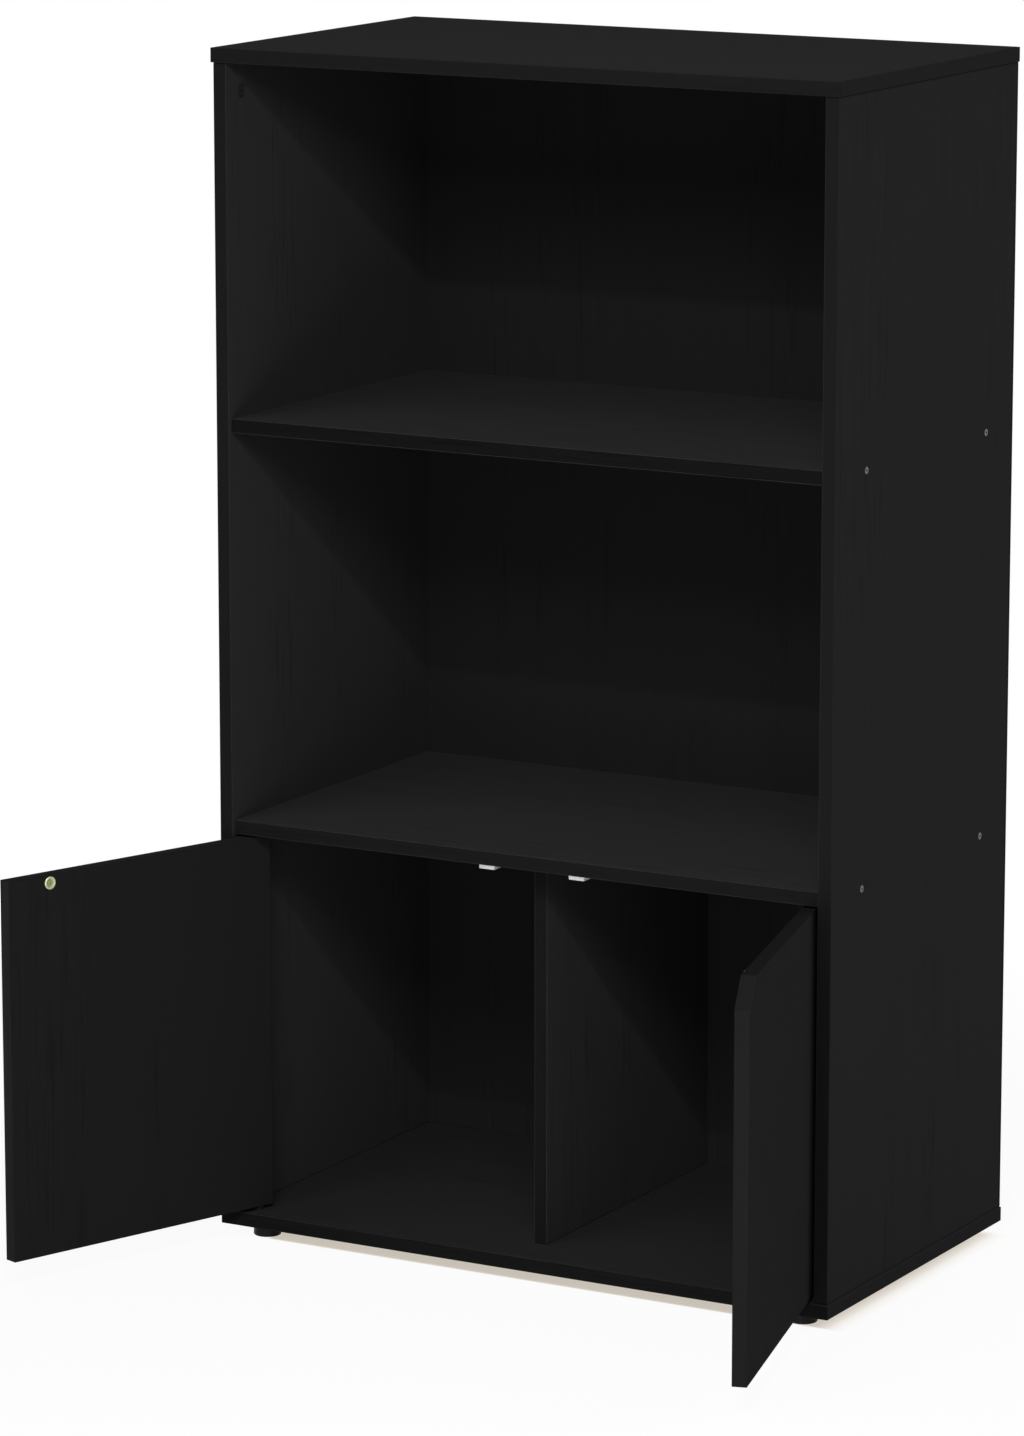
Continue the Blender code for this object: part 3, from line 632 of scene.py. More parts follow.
class LaminateGrain(EffectGroup):
    """Printed wood grain along Z: dark lines, hairs and short pores that gather in bands."""

    name = "laminate_grain"
    sway = 0.012
    sway_stretch = (3.0, 3.0, 2.5)
    band_stretch = (19.0, 19.0, 0.7)
    line_stretch = (300.0, 300.0, 10.0)
    hair_stretch = (620.0, 620.0, 8.0)
    pore_stretch = (1100.0, 1100.0, 30.0)
    ground_tone = 0.62

    def wire(self) -> None:
        """Lay lines, hairs and pores over each other, stronger in the bands."""
        w = self.wiring
        sway = w.noise(self.given["Place"], self.sway_stretch, 1.0)
        aside = w.math("MULTIPLY_ADD", sway, self.sway, -self.sway / 2)
        shift = w.node("ShaderNodeCombineXYZ", {"X": aside, "Y": aside}).outputs[0]
        place = w.vector("ADD", self.given["Place"], shift).outputs[0]
        bands = w.remap(w.noise(place, self.band_stretch, 1.0), (0.45, 0.63), (0.16, 1.0))
        lines = w.remap(w.noise(place, self.line_stretch, 1.0), (0.33, 0.45), (1.0, 0.0))
        hairs = w.noise(place, self.hair_stretch, 2.0)
        pores = w.remap(w.noise(place, self.pore_stretch, 1.0), (0.64, 0.74), UNIT)
        dips = w.math("MULTIPLY", w.math("MAXIMUM", lines, pores), bands)
        fleck = w.math("MULTIPLY", w.math("SUBTRACT", hairs, 0.5), bands)
        ground = w.math("MULTIPLY_ADD", fleck, 1.2, self.ground_tone)
        w.feed(self.result["Tone"], w.math("MULTIPLY_ADD", dips, -0.55, ground, clamp=True))
        w.feed(self.result["Gloss"], w.math("MULTIPLY_ADD", fleck, 1.6, 0.5, clamp=True))
        w.feed(self.result["Height"], w.math("MULTIPLY_ADD", dips, -0.5, fleck))


class BoardEdge(EffectGroup):
    """Where a board's edge banding lies, and how near a corner a point is."""

    name = "board_edge"
    inputs = (
        ("Place", "NodeSocketVector"),
        ("Half", "NodeSocketVector"),
        ("Thin", "NodeSocketVector"),
        ("Reach", "NodeSocketFloat"),
    )
    outputs = ("Band", "Front", "Rim", "Rear")
    skin = (0.0005, 0.0009)

    def wire(self) -> None:
        """Take the distances to the board's six planes; the second least is that to the nearest edge."""
        w = self.wiring
        away = w.vector("ABSOLUTE", self.given["Place"]).outputs[0]
        depth = w.vector("SUBTRACT", self.given["Half"], away).outputs[0]
        x, y, z = w.axes(depth)
        lesser = w.math("MINIMUM", x, y)
        greater = w.math("MAXIMUM", x, y)
        second = w.math("MAXIMUM", lesser, w.math("MINIMUM", greater, z))
        nearness = w.math("DIVIDE", second, self.given["Reach"])
        through = w.vector("DOT_PRODUCT", depth, self.given["Thin"]).outputs["Value"]
        ahead = w.vector("DOT_PRODUCT", self.given["Place"], self.given["Thin"]).outputs["Value"]
        w.feed(self.result["Rear"], w.math("GREATER_THAN", ahead, 0.0))
        w.feed(self.result["Front"], w.remap(y, self.skin, (1.0, 0.0)))
        w.feed(self.result["Band"], w.remap(through, self.skin, UNIT))
        w.feed(self.result["Rim"], w.remap(nearness, (0.2, 1.0), (1.0, 0.0)))


class MouldedSkin(EffectGroup):
    """Fine spark-eroded skin of a moulding, with a soft cloudiness."""

    name = "moulded_skin"
    grit_stretch = (5200.0, 5200.0, 5200.0)
    cloud_stretch = (160.0, 160.0, 160.0)

    def wire(self) -> None:
        """Lay a fine grit over slow clouds."""
        w = self.wiring
        grit = w.noise(self.given["Place"], self.grit_stretch, 2.0, 0.6)
        clouds = w.noise(self.given["Place"], self.cloud_stretch, 2.0)
        w.feed(self.result["Tone"], w.math("MULTIPLY_ADD", grit, 0.5, w.math("MULTIPLY", clouds, 0.5)))
        w.feed(self.result["Gloss"], clouds)
        w.feed(self.result["Height"], grit)


class PlatedSkin(EffectGroup):
    """Plated metal: rings left by turning, blotches of the plating, and the distance from the axis."""

    name = "plated_skin"
    inputs = (("Place", "NodeSocketVector"), ("Rings", "NodeSocketFloat"))
    outputs = ("Tone", "Gloss", "Height", "Radius")
    blotch_stretch = (900.0, 900.0, 900.0)
    scratch_stretch = (5000.0, 700.0, 2400.0)

    def wire(self) -> None:
        """Cross rings about Z with blotches."""
        w = self.wiring
        x, y, z = w.axes(self.given["Place"])
        radius = w.math("SQRT", w.math("ADD", w.math("MULTIPLY", x, x), w.math("MULTIPLY", y, y)))
        rings = w.math("SINE", w.math("MULTIPLY", w.math("ADD", radius, z), self.given["Rings"]))
        blotch = w.noise(self.given["Place"], self.blotch_stretch, 3.0, 0.6)
        scratch = w.noise(self.given["Place"], self.scratch_stretch, 2.0)
        w.feed(self.result["Tone"], w.math("MULTIPLY_ADD", rings, 0.10, blotch))
        w.feed(self.result["Gloss"], w.math("MULTIPLY_ADD", scratch, 0.6, w.math("MULTIPLY", blotch, 0.4)))
        w.feed(self.result["Height"], w.math("MULTIPLY_ADD", rings, 0.35, scratch))
        w.feed(self.result["Radius"], radius)


@dataclass(frozen=True)
class Effects:
    """The node groups that the finishes share."""

    grain: Tree
    edge: Tree
    moulded: Tree
    plated: Tree

    @classmethod
    def build(cls) -> Effects:
        """Build each group once."""
        return cls(LaminateGrain().tree, BoardEdge().tree, MouldedSkin().tree, PlatedSkin().tree)


@dataclass(frozen=True)
class BoardLay:
    """A board's own frame: its middle, its turn about Z, its half sizes and its thin axis."""

    middle: Vector
    turn: float
    half: Vector
    thin: Vector

    @classmethod
    def of(cls, node: Solid, turn: float) -> BoardLay:
        """Measure a board along its own axes.

        Args:
            node: The board.
            turn: How far it stands turned about Z.

        Returns:
            The board's lay.
        """
        back = Matrix.Rotation(-turn, 3, "Z")
        places = [back @ corner.co for corner in node.data.vertices]
        low = Vector(min(place[axis] for place in places) for axis in range(3))
        high = Vector(max(place[axis] for place in places) for axis in range(3))
        half = (high - low) / 2
        thinnest = min(range(3), key=lambda axis: half[axis])
        thin = Vector(float(axis == thinnest) for axis in range(3))
        return cls(Matrix.Rotation(turn, 3, "Z") @ ((low + high) / 2), turn, half, thin)


@dataclass(frozen=True)
class BoardCut:
    """How one board was cut from the laminated sheet.

    Shades are painted light and shade, given as shares of the laminate's own level: of its faces, of the
    banding on its front edge, of its other edges, and of its right or inner face where that differs. They
    make the one laminate lighter or darker board by board and face by face, to stand in for how the light
    falls on each.
    """

    run: GrainRun
    shade: float
    banding: float = 0.48
    ends: float = 0.95
    other_face_shade: float | None = None
    turn: float = 0.0


@dataclass(frozen=True)
class LaminateFinish:
    """Matte black laminate with a printed grain; its faces, its darker edge banding and its other edges take
    shares of its level as painted light and shade, and its rims are darkened as painted shade.
    """

    colour: float = 0.0277
    contrast: float = 0.16
    # painted shade: the rims are darkened to this share of the laminate's level
    rim: float = 0.28
    rim_reach: float = 0.0009
    roughness: Span = (0.50, 0.68)
    gloss_level: float = 0.0003
    bump: float = 0.30
    depth: float = 0.00012

    def material(
        self, name: str, effects: Effects, lay: BoardLay, board_cut: BoardCut, place: Point
    ) -> Finish:
        """Make one board's laminate.

        Args:
            name: The material's name.
            effects: The shared node groups.
            lay: The board's own frame.
            board_cut: Its grain and shades.
            place: Where in the printed sheet the board was cut.

        Returns:
            The material.
        """
        w = FinishWiring(name)
        board = w.board_place(lay)
        turn = {"Vector": board, "Location": place, "Rotation": board_cut.run.value}
        sheet = w.node("ShaderNodeMapping", turn, vector_type="POINT").outputs[0]
        grain = w.group(effects.grain, Place=sheet)
        edge = w.group(effects.edge, Place=board, Half=lay.half, Thin=lay.thin, Reach=self.rim_reach)

        def toned(share: float) -> Socket:
            """Give the grain at a share of the laminate's level."""
            return w.tones(grain["Tone"], self.colour * share, self.contrast)

        # Painted light and shade: each face and edge takes its own share of the laminate's level.
        face = toned(board_cut.shade)
        if board_cut.other_face_shade is not None:
            face = w.blend(edge["Rear"], face, toned(board_cut.other_face_shade))
        edges = w.blend(edge["Front"], toned(board_cut.ends), toned(board_cut.banding))
        # Painted shade on the rims, uneven with the grain's gloss.
        rim_tone = w.math("MULTIPLY", edge["Rim"], grain["Gloss"])
        dressed = w.blend(edge["Band"], face, edges)
        return w.shade(
            {
                "Base Color": w.blend(rim_tone, dressed, grey(self.colour * self.rim)),
                "Roughness": w.remap(grain["Gloss"], UNIT, self.roughness),
                "Normal": w.bump(grain["Height"], self.bump, self.depth),
                "Specular IOR Level": self.gloss_level,
            }
        )


@dataclass(frozen=True)
class BackSheetFinish:
    """Thin fibre board: black print with grain on the face, bare dyed fibre behind."""

    face: float = 0.0141
    rear: float = 0.0145
    contrast: float = 0.16
    fibre_contrast: float = 0.4
    fibre_stretch: Point = (420.0, 420.0, 420.0)
    fibre_height: float = 1.5
    roughness: Span = (0.55, 0.75)
    gloss_level: float = 0.0003
    bump: float = 0.3
    depth: float = 0.00015

    def material(self, name: str, effects: Effects, lay: BoardLay) -> Finish:
        """Make the sheet's two faces.

        Args:
            name: The material's name.
            effects: The shared node groups.
            lay: The sheet's own frame.

        Returns:
            The material.
        """
        w = FinishWiring(name)
        board = w.board_place(lay)
        grain = w.group(effects.grain, Place=board)
        fibres = w.noise(board, self.fibre_stretch, 6.0, 0.7)
        behind = w.remap(w.axes(board)[1], (0.0, lay.half.y * 0.5), UNIT)
        front = w.tones(grain["Tone"], self.face, self.contrast)
        rear = w.tones(fibres, self.rear, self.fibre_contrast)
        bare = w.math("MULTIPLY", fibres, behind)
        height = w.math("MULTIPLY_ADD", bare, self.fibre_height, grain["Height"])
        return w.shade(
            {
                "Base Color": w.blend(behind, front, rear),
                "Roughness": w.remap(fibres, NOISE_SPAN, self.roughness),
                "Normal": w.bump(height, self.bump, self.depth),
                "Specular IOR Level": self.gloss_level,
            }
        )


@dataclass(frozen=True)
class PlasticFinish:
    """Moulded plastic with a fine skin."""

    dark: Colour
    pale: Colour
    roughness: Span
    gloss_level: float
    bump: float = 0.15
    depth: float = 0.00008

    def material(self, name: str, effects: Effects) -> Finish:
        """Make the plastic.

        Args:
            name: The material's name.
            effects: The shared node groups.

        Returns:
            The material.
        """
        w = FinishWiring(name)
        skin = w.group(effects.moulded, Place=w.own_place())
        return w.shade(
            {
                "Base Color": w.blend(skin["Tone"], self.dark, self.pale),
                "Roughness": w.remap(skin["Gloss"], NOISE_SPAN, self.roughness),
                "Normal": w.bump(skin["Height"], self.bump, self.depth),
                "Specular IOR Level": self.gloss_level,
            }
        )


@dataclass(frozen=True)
class MetalFinish:
    """Plated or blackened steel, paler outside a radius: rubbed plating, and on the strike plate's rim a
    painted highlight too.
    """

    dark: Colour
    pale: Colour
    rubbed_and_highlight: Colour
    roughness: Span
    rubbed_and_highlight_from: float = 1.0
    rubbed_and_highlight_to: float = 1.12
    metallic: float = 0.5
    gloss_level: float = 0.3
    rings: float = 9000.0
    bump: float = 0.12
    depth: float = 0.00004

    def material(self, name: str, effects: Effects) -> Finish:
        """Make the metal.

        Args:
            name: The material's name.
            effects: The shared node groups.

        Returns:
            The material.
        """
        w = FinishWiring(name)
        skin = w.group(effects.plated, Place=w.own_place(), Rings=self.rings)
        plating = w.blend(w.remap(skin["Tone"], NOISE_SPAN, UNIT), self.dark, self.pale)
        # Paler outside a radius: rubbed plating, and on the strike plate's rim a painted highlight too.
        rim_tone = w.remap(skin["Radius"], (self.rubbed_and_highlight_from, self.rubbed_and_highlight_from * self.rubbed_and_highlight_to), UNIT)
        return w.shade(
            {
                "Base Color": w.blend(rim_tone, plating, self.rubbed_and_highlight),
                "Roughness": w.remap(skin["Gloss"], NOISE_SPAN, self.roughness),
                "Normal": w.bump(skin["Height"], self.bump, self.depth),
                "Metallic": self.metallic,
                "Specular IOR Level": self.gloss_level,
            }
        )


@dataclass(frozen=True)
class BeechFinish:
    """Bare beech of the dowels: pale, with short dark flecks along the axis."""

    pale: Colour = (0.60, 0.42, 0.25, 1.0)
    dark: Colour = (0.46, 0.29, 0.15, 1.0)
    fleck: Colour = (0.30, 0.17, 0.08, 1.0)
    year_stretch: Point = (900.0, 240.0, 12.0)
    fleck_stretch: Point = (2600.0, 2600.0, 240.0)
    roughness: Span = (0.6, 0.8)
    bump: float = 0.2
    depth: float = 0.00005

    def material(self, name: str) -> Finish:
        """Make the wood.

        Args:
            name: The material's name.

        Returns:
            The material.
        """
        w = FinishWiring(name)
        place = w.own_place()
        years = w.noise(place, self.year_stretch, 2.0)
        flecks = w.remap(w.noise(place, self.fleck_stretch, 1.0), (0.62, 0.7), (0.0, 0.8))
        return w.shade(
            {
                "Base Color": w.blend(flecks, w.blend(years, self.dark, self.pale), self.fleck),
                "Roughness": w.remap(years, NOISE_SPAN, self.roughness),
                "Normal": w.bump(flecks, self.bump, self.depth),
            }
        )


BLACK_PLASTIC = PlasticFinish(dark=grey(0.0065), pale=grey(0.0107), roughness=(0.34, 0.48), gloss_level=0.10)
WHITE_PLASTIC = PlasticFinish(
    dark=(0.86, 0.86, 0.84, 1.0), pale=(0.93, 0.93, 0.91, 1.0), roughness=(0.35, 0.45), gloss_level=0.4
)
FERRITE = PlasticFinish(
    dark=(0.045, 0.045, 0.05, 1.0), pale=(0.08, 0.08, 0.085, 1.0), roughness=(0.55, 0.7), gloss_level=0.3
)
ZINC = MetalFinish(
    dark=grey(0.085), pale=grey(0.122), rubbed_and_highlight=grey(0.14), roughness=(0.34, 0.50), rubbed_and_highlight_from=0.0033
)
YELLOW_ZINC = MetalFinish(
    dark=(0.28, 0.32, 0.13, 1.0),
    pale=(0.45, 0.49, 0.21, 1.0),
    rubbed_and_highlight=(0.50, 0.53, 0.28, 1.0),
    roughness=(0.3, 0.45),
)
# The strike's pale rim is partly rubbed plating and partly a painted highlight.
STRIKE_ZINC = MetalFinish(
    dark=(0.35, 0.38, 0.19, 1.0),
    pale=(0.50, 0.535, 0.28, 1.0),
    rubbed_and_highlight=(0.58, 0.61, 0.39, 1.0),
    roughness=(0.30, 0.42),
    rubbed_and_highlight_from=0.0043,
)
BLACKENED_STEEL = MetalFinish(
    dark=grey(0.013),
    pale=grey(0.020),
    rubbed_and_highlight=grey(0.026),
    roughness=(0.45, 0.6),
    rubbed_and_highlight_from=0.0072,
    metallic=0.0,
    gloss_level=0.04,
)


@dataclass(frozen=True)
class Finishes:
    """Every finish of the fittings, made once."""

    black_plastic: Finish
    white_plastic: Finish
    ferrite: Finish
    zinc: Finish
    yellow_zinc: Finish
    strike_zinc: Finish
    blackened: Finish
    beech: Finish

    @classmethod
    def build(cls, effects: Effects) -> Finishes:
        """Mix the finishes.

        Args:
            effects: The shared node groups.

        Returns:
            The finishes.
        """
        return cls(
            black_plastic=BLACK_PLASTIC.material("black_plastic", effects),
            white_plastic=WHITE_PLASTIC.material("white_plastic", effects),
            ferrite=FERRITE.material("ferrite", effects),
            zinc=ZINC.material("zinc_plate", effects),
            yellow_zinc=YELLOW_ZINC.material("yellow_zinc_plate", effects),
            strike_zinc=STRIKE_ZINC.material("strike_zinc_plate", effects),
            blackened=BLACKENED_STEEL.material("blackened_steel", effects),
            beech=BeechFinish().material("beech"),
        )


@dataclass
class Boards:
    """The laminated boards of the carcass and the two doors, dressed as they were cut from the sheet."""

    effects: Effects
    laminate: LaminateFinish = field(default_factory=LaminateFinish)
    sheet: BackSheetFinish = field(default_factory=BackSheetFinish)
    left_turn: float = math.radians(-110.0)
    right_turn: float = math.radians(105.0)
    sheet_step: Point = (0.83, 1.37, 0.61)

    def cuts(self) -> dict[str, BoardCut]:
        """List each board with its cut.

        Returns:
            The cuts by the boards' nodes.
        """
        across, upright = GrainRun.ACROSS, GrainRun.UPRIGHT
        # Painted light and shade: the shares below make the one laminate lighter or darker board by board and
        # face by face.
        return {
            "top_panel": BoardCut(across, shade=0.69, banding=0.332, ends=0.50),
            "upper_shelf": BoardCut(across, shade=1.12, banding=0.219),
            "middle_shelf": BoardCut(across, shade=1.14, banding=0.303),
            "bottom_panel": BoardCut(across, shade=0.84, banding=0.274, ends=0.55),
            "left_side_panel": BoardCut(upright, shade=0.90, banding=0.338, other_face_shade=0.98),
            "right_side_panel": BoardCut(upright, shade=0.98, banding=0.338, other_face_shade=0.60),
            "cabinet_divider": BoardCut(upright, shade=1.20, banding=0.286),
            "left_door": BoardCut(upright, shade=0.52, ends=0.64, other_face_shade=0.42, turn=self.left_turn),
            "right_door": BoardCut(upright, shade=0.52, ends=0.38, other_face_shade=0.42, turn=self.right_turn),
        }

    def build(self, nodes: dict[str, Solid]) -> None:
        """Dress the boards.

        Args:
            nodes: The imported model's nodes by name.
        """
        for index, (name, board_cut) in enumerate(self.cuts().items()):
            lay = BoardLay.of(nodes[name], board_cut.turn)
            place = tuple(step * index for step in self.sheet_step)
            finish = self.laminate.material(name + "_laminate", self.effects, lay, board_cut, place)
            self.dress(nodes[name], finish)
        back = nodes["back_panel"]
        self.dress(back, self.sheet.material("back_sheet", self.effects, BoardLay.of(back, 0.0)))

    def dress(self, node: Solid, finish: Finish) -> None:
        """Put a finish in each of a node's slots.

        Args:
            node: The board.
            finish: Its material.
        """
        for place in node.material_slots:
            place.material = finish
        LOG.info("%s dressed in %s", node.name, finish.name)


@dataclass(frozen=True)
class ScrewKind:
    """A countersunk cross-head screw, measured from the face of its head."""

    name: str
    head_radius: float
    head_depth: float
    shank_radius: float
    core_radius: float
    length: float
    tip: float
    plain: float
    pitch: float
    cross_span: float
    cross_depth: float
    cross_width: float
    cross_taper: float = 0.45
    rim: float = 0.0004
    crown: float = 0.0002
    sides: int = 16
    rings: int = 4

    @property
    def thread(self) -> Span:
        """Give where the thread starts and ends."""
        return self.head_depth + self.plain, self.length - self.tip

    def model(self, *finishes: Finish) -> Solid:
        """Model the screw once: turned blank, thread, then its recess.

        Args:
            finishes: Its metal, and further finishes if some faces get them.

        Returns:
            The model, from the face of its head along Z.
        """
        start, end = self.thread
        count = round((end - start) / self.pitch * self.rings)
        outline = [
            (0.0, 0.0),
            (self.head_radius - self.crown, 0.0),
            (self.head_radius, self.crown),
            (self.head_radius, self.rim),
            (self.core_radius, self.head_depth),
            *thread_core(self.core_radius, start, end - start, count),
            (self.core_radius * 0.5, self.length - self.tip * 0.35),
            (0.0, self.length),
        ]
        screw = turned(self.name, outline, self.sides)
        widen(screw, self.shank_radius / self.core_radius, self.crest)
        cut(screw, cross_tool(self.cross_span, self.cross_width, self.cross_depth, self.cross_taper))
        return finished(screw, *finishes)

    def crest(self, place: Vector, _normal: Vector) -> bool:
        """Tell whether a corner lies on the thread's crest."""
        start, end = self.thread
        threaded = start + self.pitch / 2 < place.z < end - WELD
        return threaded and on_crest(place, start, self.pitch, self.rings)

    def in_recess(self, middle: Vector, _normal: Vector) -> bool:
        """Tell whether a face lies in the recess of the head."""
        sunk = WELD < middle.z < self.cross_depth + WELD
        return sunk and middle.xy.length < self.cross_span * 0.42


CARCASS_SCREW = ScrewKind(
    "carcass_screw",
    head_radius=0.0037,
    head_depth=0.0030,
    shank_radius=0.0022,
    core_radius=0.0015,
    length=0.045,
    tip=0.004,
    plain=0.008,
    pitch=0.0018,
    cross_span=0.0050,
    cross_depth=0.0022,
    cross_width=0.0013,
)
SMALL_SCREW = ScrewKind(
    "small_screw",
    head_radius=0.0026,
    head_depth=0.0013,
    shank_radius=0.0013,
    core_radius=0.0009,
    length=0.012,
    tip=0.002,
    plain=0.0012,
    pitch=0.0010,
    cross_span=0.0030,
    cross_depth=0.0008,
    cross_width=0.0006,
)


@dataclass
class Fittings:
    """Fittings of one kind, made of the shared finishes."""

    finishes: Finishes

    def build(self) -> None:
        """Build the fittings; each kind has its own."""
        raise NotImplementedError


@dataclass
class CarcassScrews(Fittings):
    """Fourteen screws: through the sides into the shelves, and up through the bottom panel."""

    kind: ScrewKind = CARCASS_SCREW

    def places(self) -> dict[str, Vector]:
        """List the screws with the way each is driven.

        Returns:
            The ways by the screws' nodes.
        """
        ways = {}
        for row in ROWS:
            for shelf in ("upper", "middle"):
                for side, outward in SIDES.items():
                    ways[f"{shelf}_shelf_screw_{side}_{row}"] = -outward
            for board in ("base_screw_left", "base_screw_right", "divider_screw"):
                ways[f"{board}_{row}"] = UP
        return ways

    def build(self) -> None:
        """Model one screw, its cross recess painted dark as painted shade, and copy it to each place."""
        model = self.kind.model(self.finishes.zinc, self.finishes.blackened)
        # Painted shade: the cross recess takes the dark blackened finish.
        paint_faces(model, 1, self.kind.in_recess)
        for node, way in self.places().items():
            seat(model, node, "_driven", way, Body.CARCASS, Slot.ZINC)
        put_away(model)


@dataclass
class CamFittings(Fittings):
    """Cam locks in the sides, and the bolts they draw down from the top panel."""

    radius: float = 0.0075
    face_rim: float = 0.0006
    ease: float = 0.0004
    groove: float = 0.0062
    groove_half: float = 0.0005
    groove_depth: float = 0.0003
    cross_span: float = 0.0084
    cross_depth: float = 0.0020
    cross_width: float = 0.0014
    cross_taper: float = 0.6
    sides: int = 48
    bolt_radius: float = 0.0030
    bolt_core: float = 0.0024
    bolt_sides: int = 20
    neck_radius: float = 0.0020
    head: float = 0.0030
    head_ease: float = 0.0006
    neck: float = 0.0050
    lead: float = 0.0006
    thread: float = 0.0100
    run_out: float = 0.0008
    pitch: float = 0.0020
    rings: int = 4
    gap: float = 0.0003
    way_sides: int = 32

    def build(self) -> None:
        """Copy the two fittings to the four corners."""
        bolt = self.bolt()
        for side, outward in SIDES.items():
            lock = self.lock(side, outward)
            for row in ROWS:
                seat(lock, f"cam_lock_{side}_{row}", "_seated", outward, Body.CARCASS, Slot.BLACKENED)
                seat(bolt, f"cam_bolt_{side}_{row}", "_seated", DOWN, Body.CARCASS, Slot.ZINC)
            put_away(lock)
        put_away(bolt)

    def lock(self, side: str, outward: Vector) -> Solid:
        """Model a cam lock: a grooved drum with its cross, and the way in for the bolt's head.

        Args:
            side: Which side panel it sits in.
            outward: The way from the panel's inner face into the board.

        Returns:
            The model, its face at the origin and its depth along Z.
        """
        node = f"cam_lock_{side}_front"
        depth = extent(node, outward)
        rim, sunk = self.face_rim, self.groove_depth
        outline = [
            (0.0, 0.0),
            (self.groove - self.groove_half, 0.0),
            (self.groove - sunk, sunk),
            (self.groove + sunk, sunk),
            (self.groove + self.groove_half, 0.0),
            (self.radius - rim, 0.0),
            (self.radius - rim * 0.3, rim * 0.3),
            (self.radius, rim),
            (self.radius, depth - self.ease),
            (self.radius - self.ease, depth),
            (0.0, depth),
        ]
        drum = turned(f"cam_lock_{side}", outline, self.sides)
        cut(drum, cross_tool(self.cross_span, self.cross_width, self.cross_depth, self.cross_taper))
        bolt_low, bolt_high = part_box(f"cam_bolt_{side}_front")
        foot, wide = bolt_low.z - self.gap, self.bolt_radius + self.gap
        bore_outline = [(0.0, foot), (wide, foot), (wide, bolt_high.z), (0.0, bolt_high.z)]
        bore = turned("bolt_way", bore_outline, self.way_sides)
        middle = (bolt_low + bolt_high) / 2
        back = along(start_of(node, outward), outward).inverted()
        move_to(bore, back @ Matrix.Translation((middle.x, middle.y, 0.0)))
        cut(drum, bore)
        return finished(drum, self.finishes.blackened)

    def bolt(self) -> Solid:
        """Model a bolt downwards: threaded end, plain shank, neck and head.

        Returns:
            The model, from its threaded end along Z.
        """
        length = extent("cam_bolt_left_front", DOWN)
        count = round(self.thread / self.pitch * self.rings)
        shoulder = length - self.head - self.neck
        outline = [
            (0.0, 0.0),
            (self.bolt_core * 0.7, 0.0),
            *thread_core(self.bolt_core, self.lead, self.thread, count),
            (self.bolt_radius, self.thread + self.run_out),
            (self.bolt_radius, shoulder - self.ease),
            (self.bolt_radius - self.ease, shoulder),
            (self.neck_radius, shoulder),
            (self.neck_radius, length - self.head),
            (self.bolt_radius, length - self.head + self.head_ease / 2),
            (self.bolt_radius, length - self.head_ease),
            (self.bolt_radius - self.head_ease, length),
            (0.0, length),
        ]
        bolt = turned("cam_bolt", outline, self.bolt_sides)
        widen(bolt, self.bolt_radius / self.bolt_core, self.bolt_crest)
        return finished(bolt, self.finishes.zinc)

    def bolt_crest(self, place: Vector, _normal: Vector) -> bool:
        """Tell whether a corner lies on the crest of the bolt's thread."""
        return self.lead * 2 < place.z < self.thread and on_crest(place, 0.0, self.pitch, self.rings)


@dataclass
class Dowels(Fittings):
    """Six fluted dowels, between the sides and the top panel and over the divider."""

    radius: float = 0.0040
    length: float = 0.0300
    chamfer: float = 0.0008
    flutes: int = 14
    flute_depth: float = 0.92

    def build(self) -> None:
        """Model one dowel and copy it to each place."""
        cham = self.chamfer
        start = [
            (0.0, 0.0),
            (self.radius - cham, 0.0),
            (self.radius - cham * 0.3, cham * 0.4),
            (self.radius, cham),
        ]
        end = [(radius, self.length - height) for radius, height in reversed(start)]
        model = turned("dowel", [*start, *end], self.flutes * 4)
        widen(model, self.flute_depth, self.in_flute)
        finished(model, self.finishes.beech)
        joints = [f"top_dowel_{side}" for side in SIDES]
        for node in [f"{joint}_{row}" for joint in (*joints, "divider_dowel") for row in ROWS]:
            seat(model, node, "_fluted", DOWN, Body.CARCASS, Slot.BEECH)
        put_away(model)

    def in_flute(self, place: Vector, _normal: Vector) -> bool:
        """Tell whether a corner lies in the bottom of a flute."""
        part = math.atan2(place.y, place.x) / FULL_TURN * self.flutes
        return place.xy.length > self.radius - self.chamfer / 2 and abs(part - round(part)) < 0.1


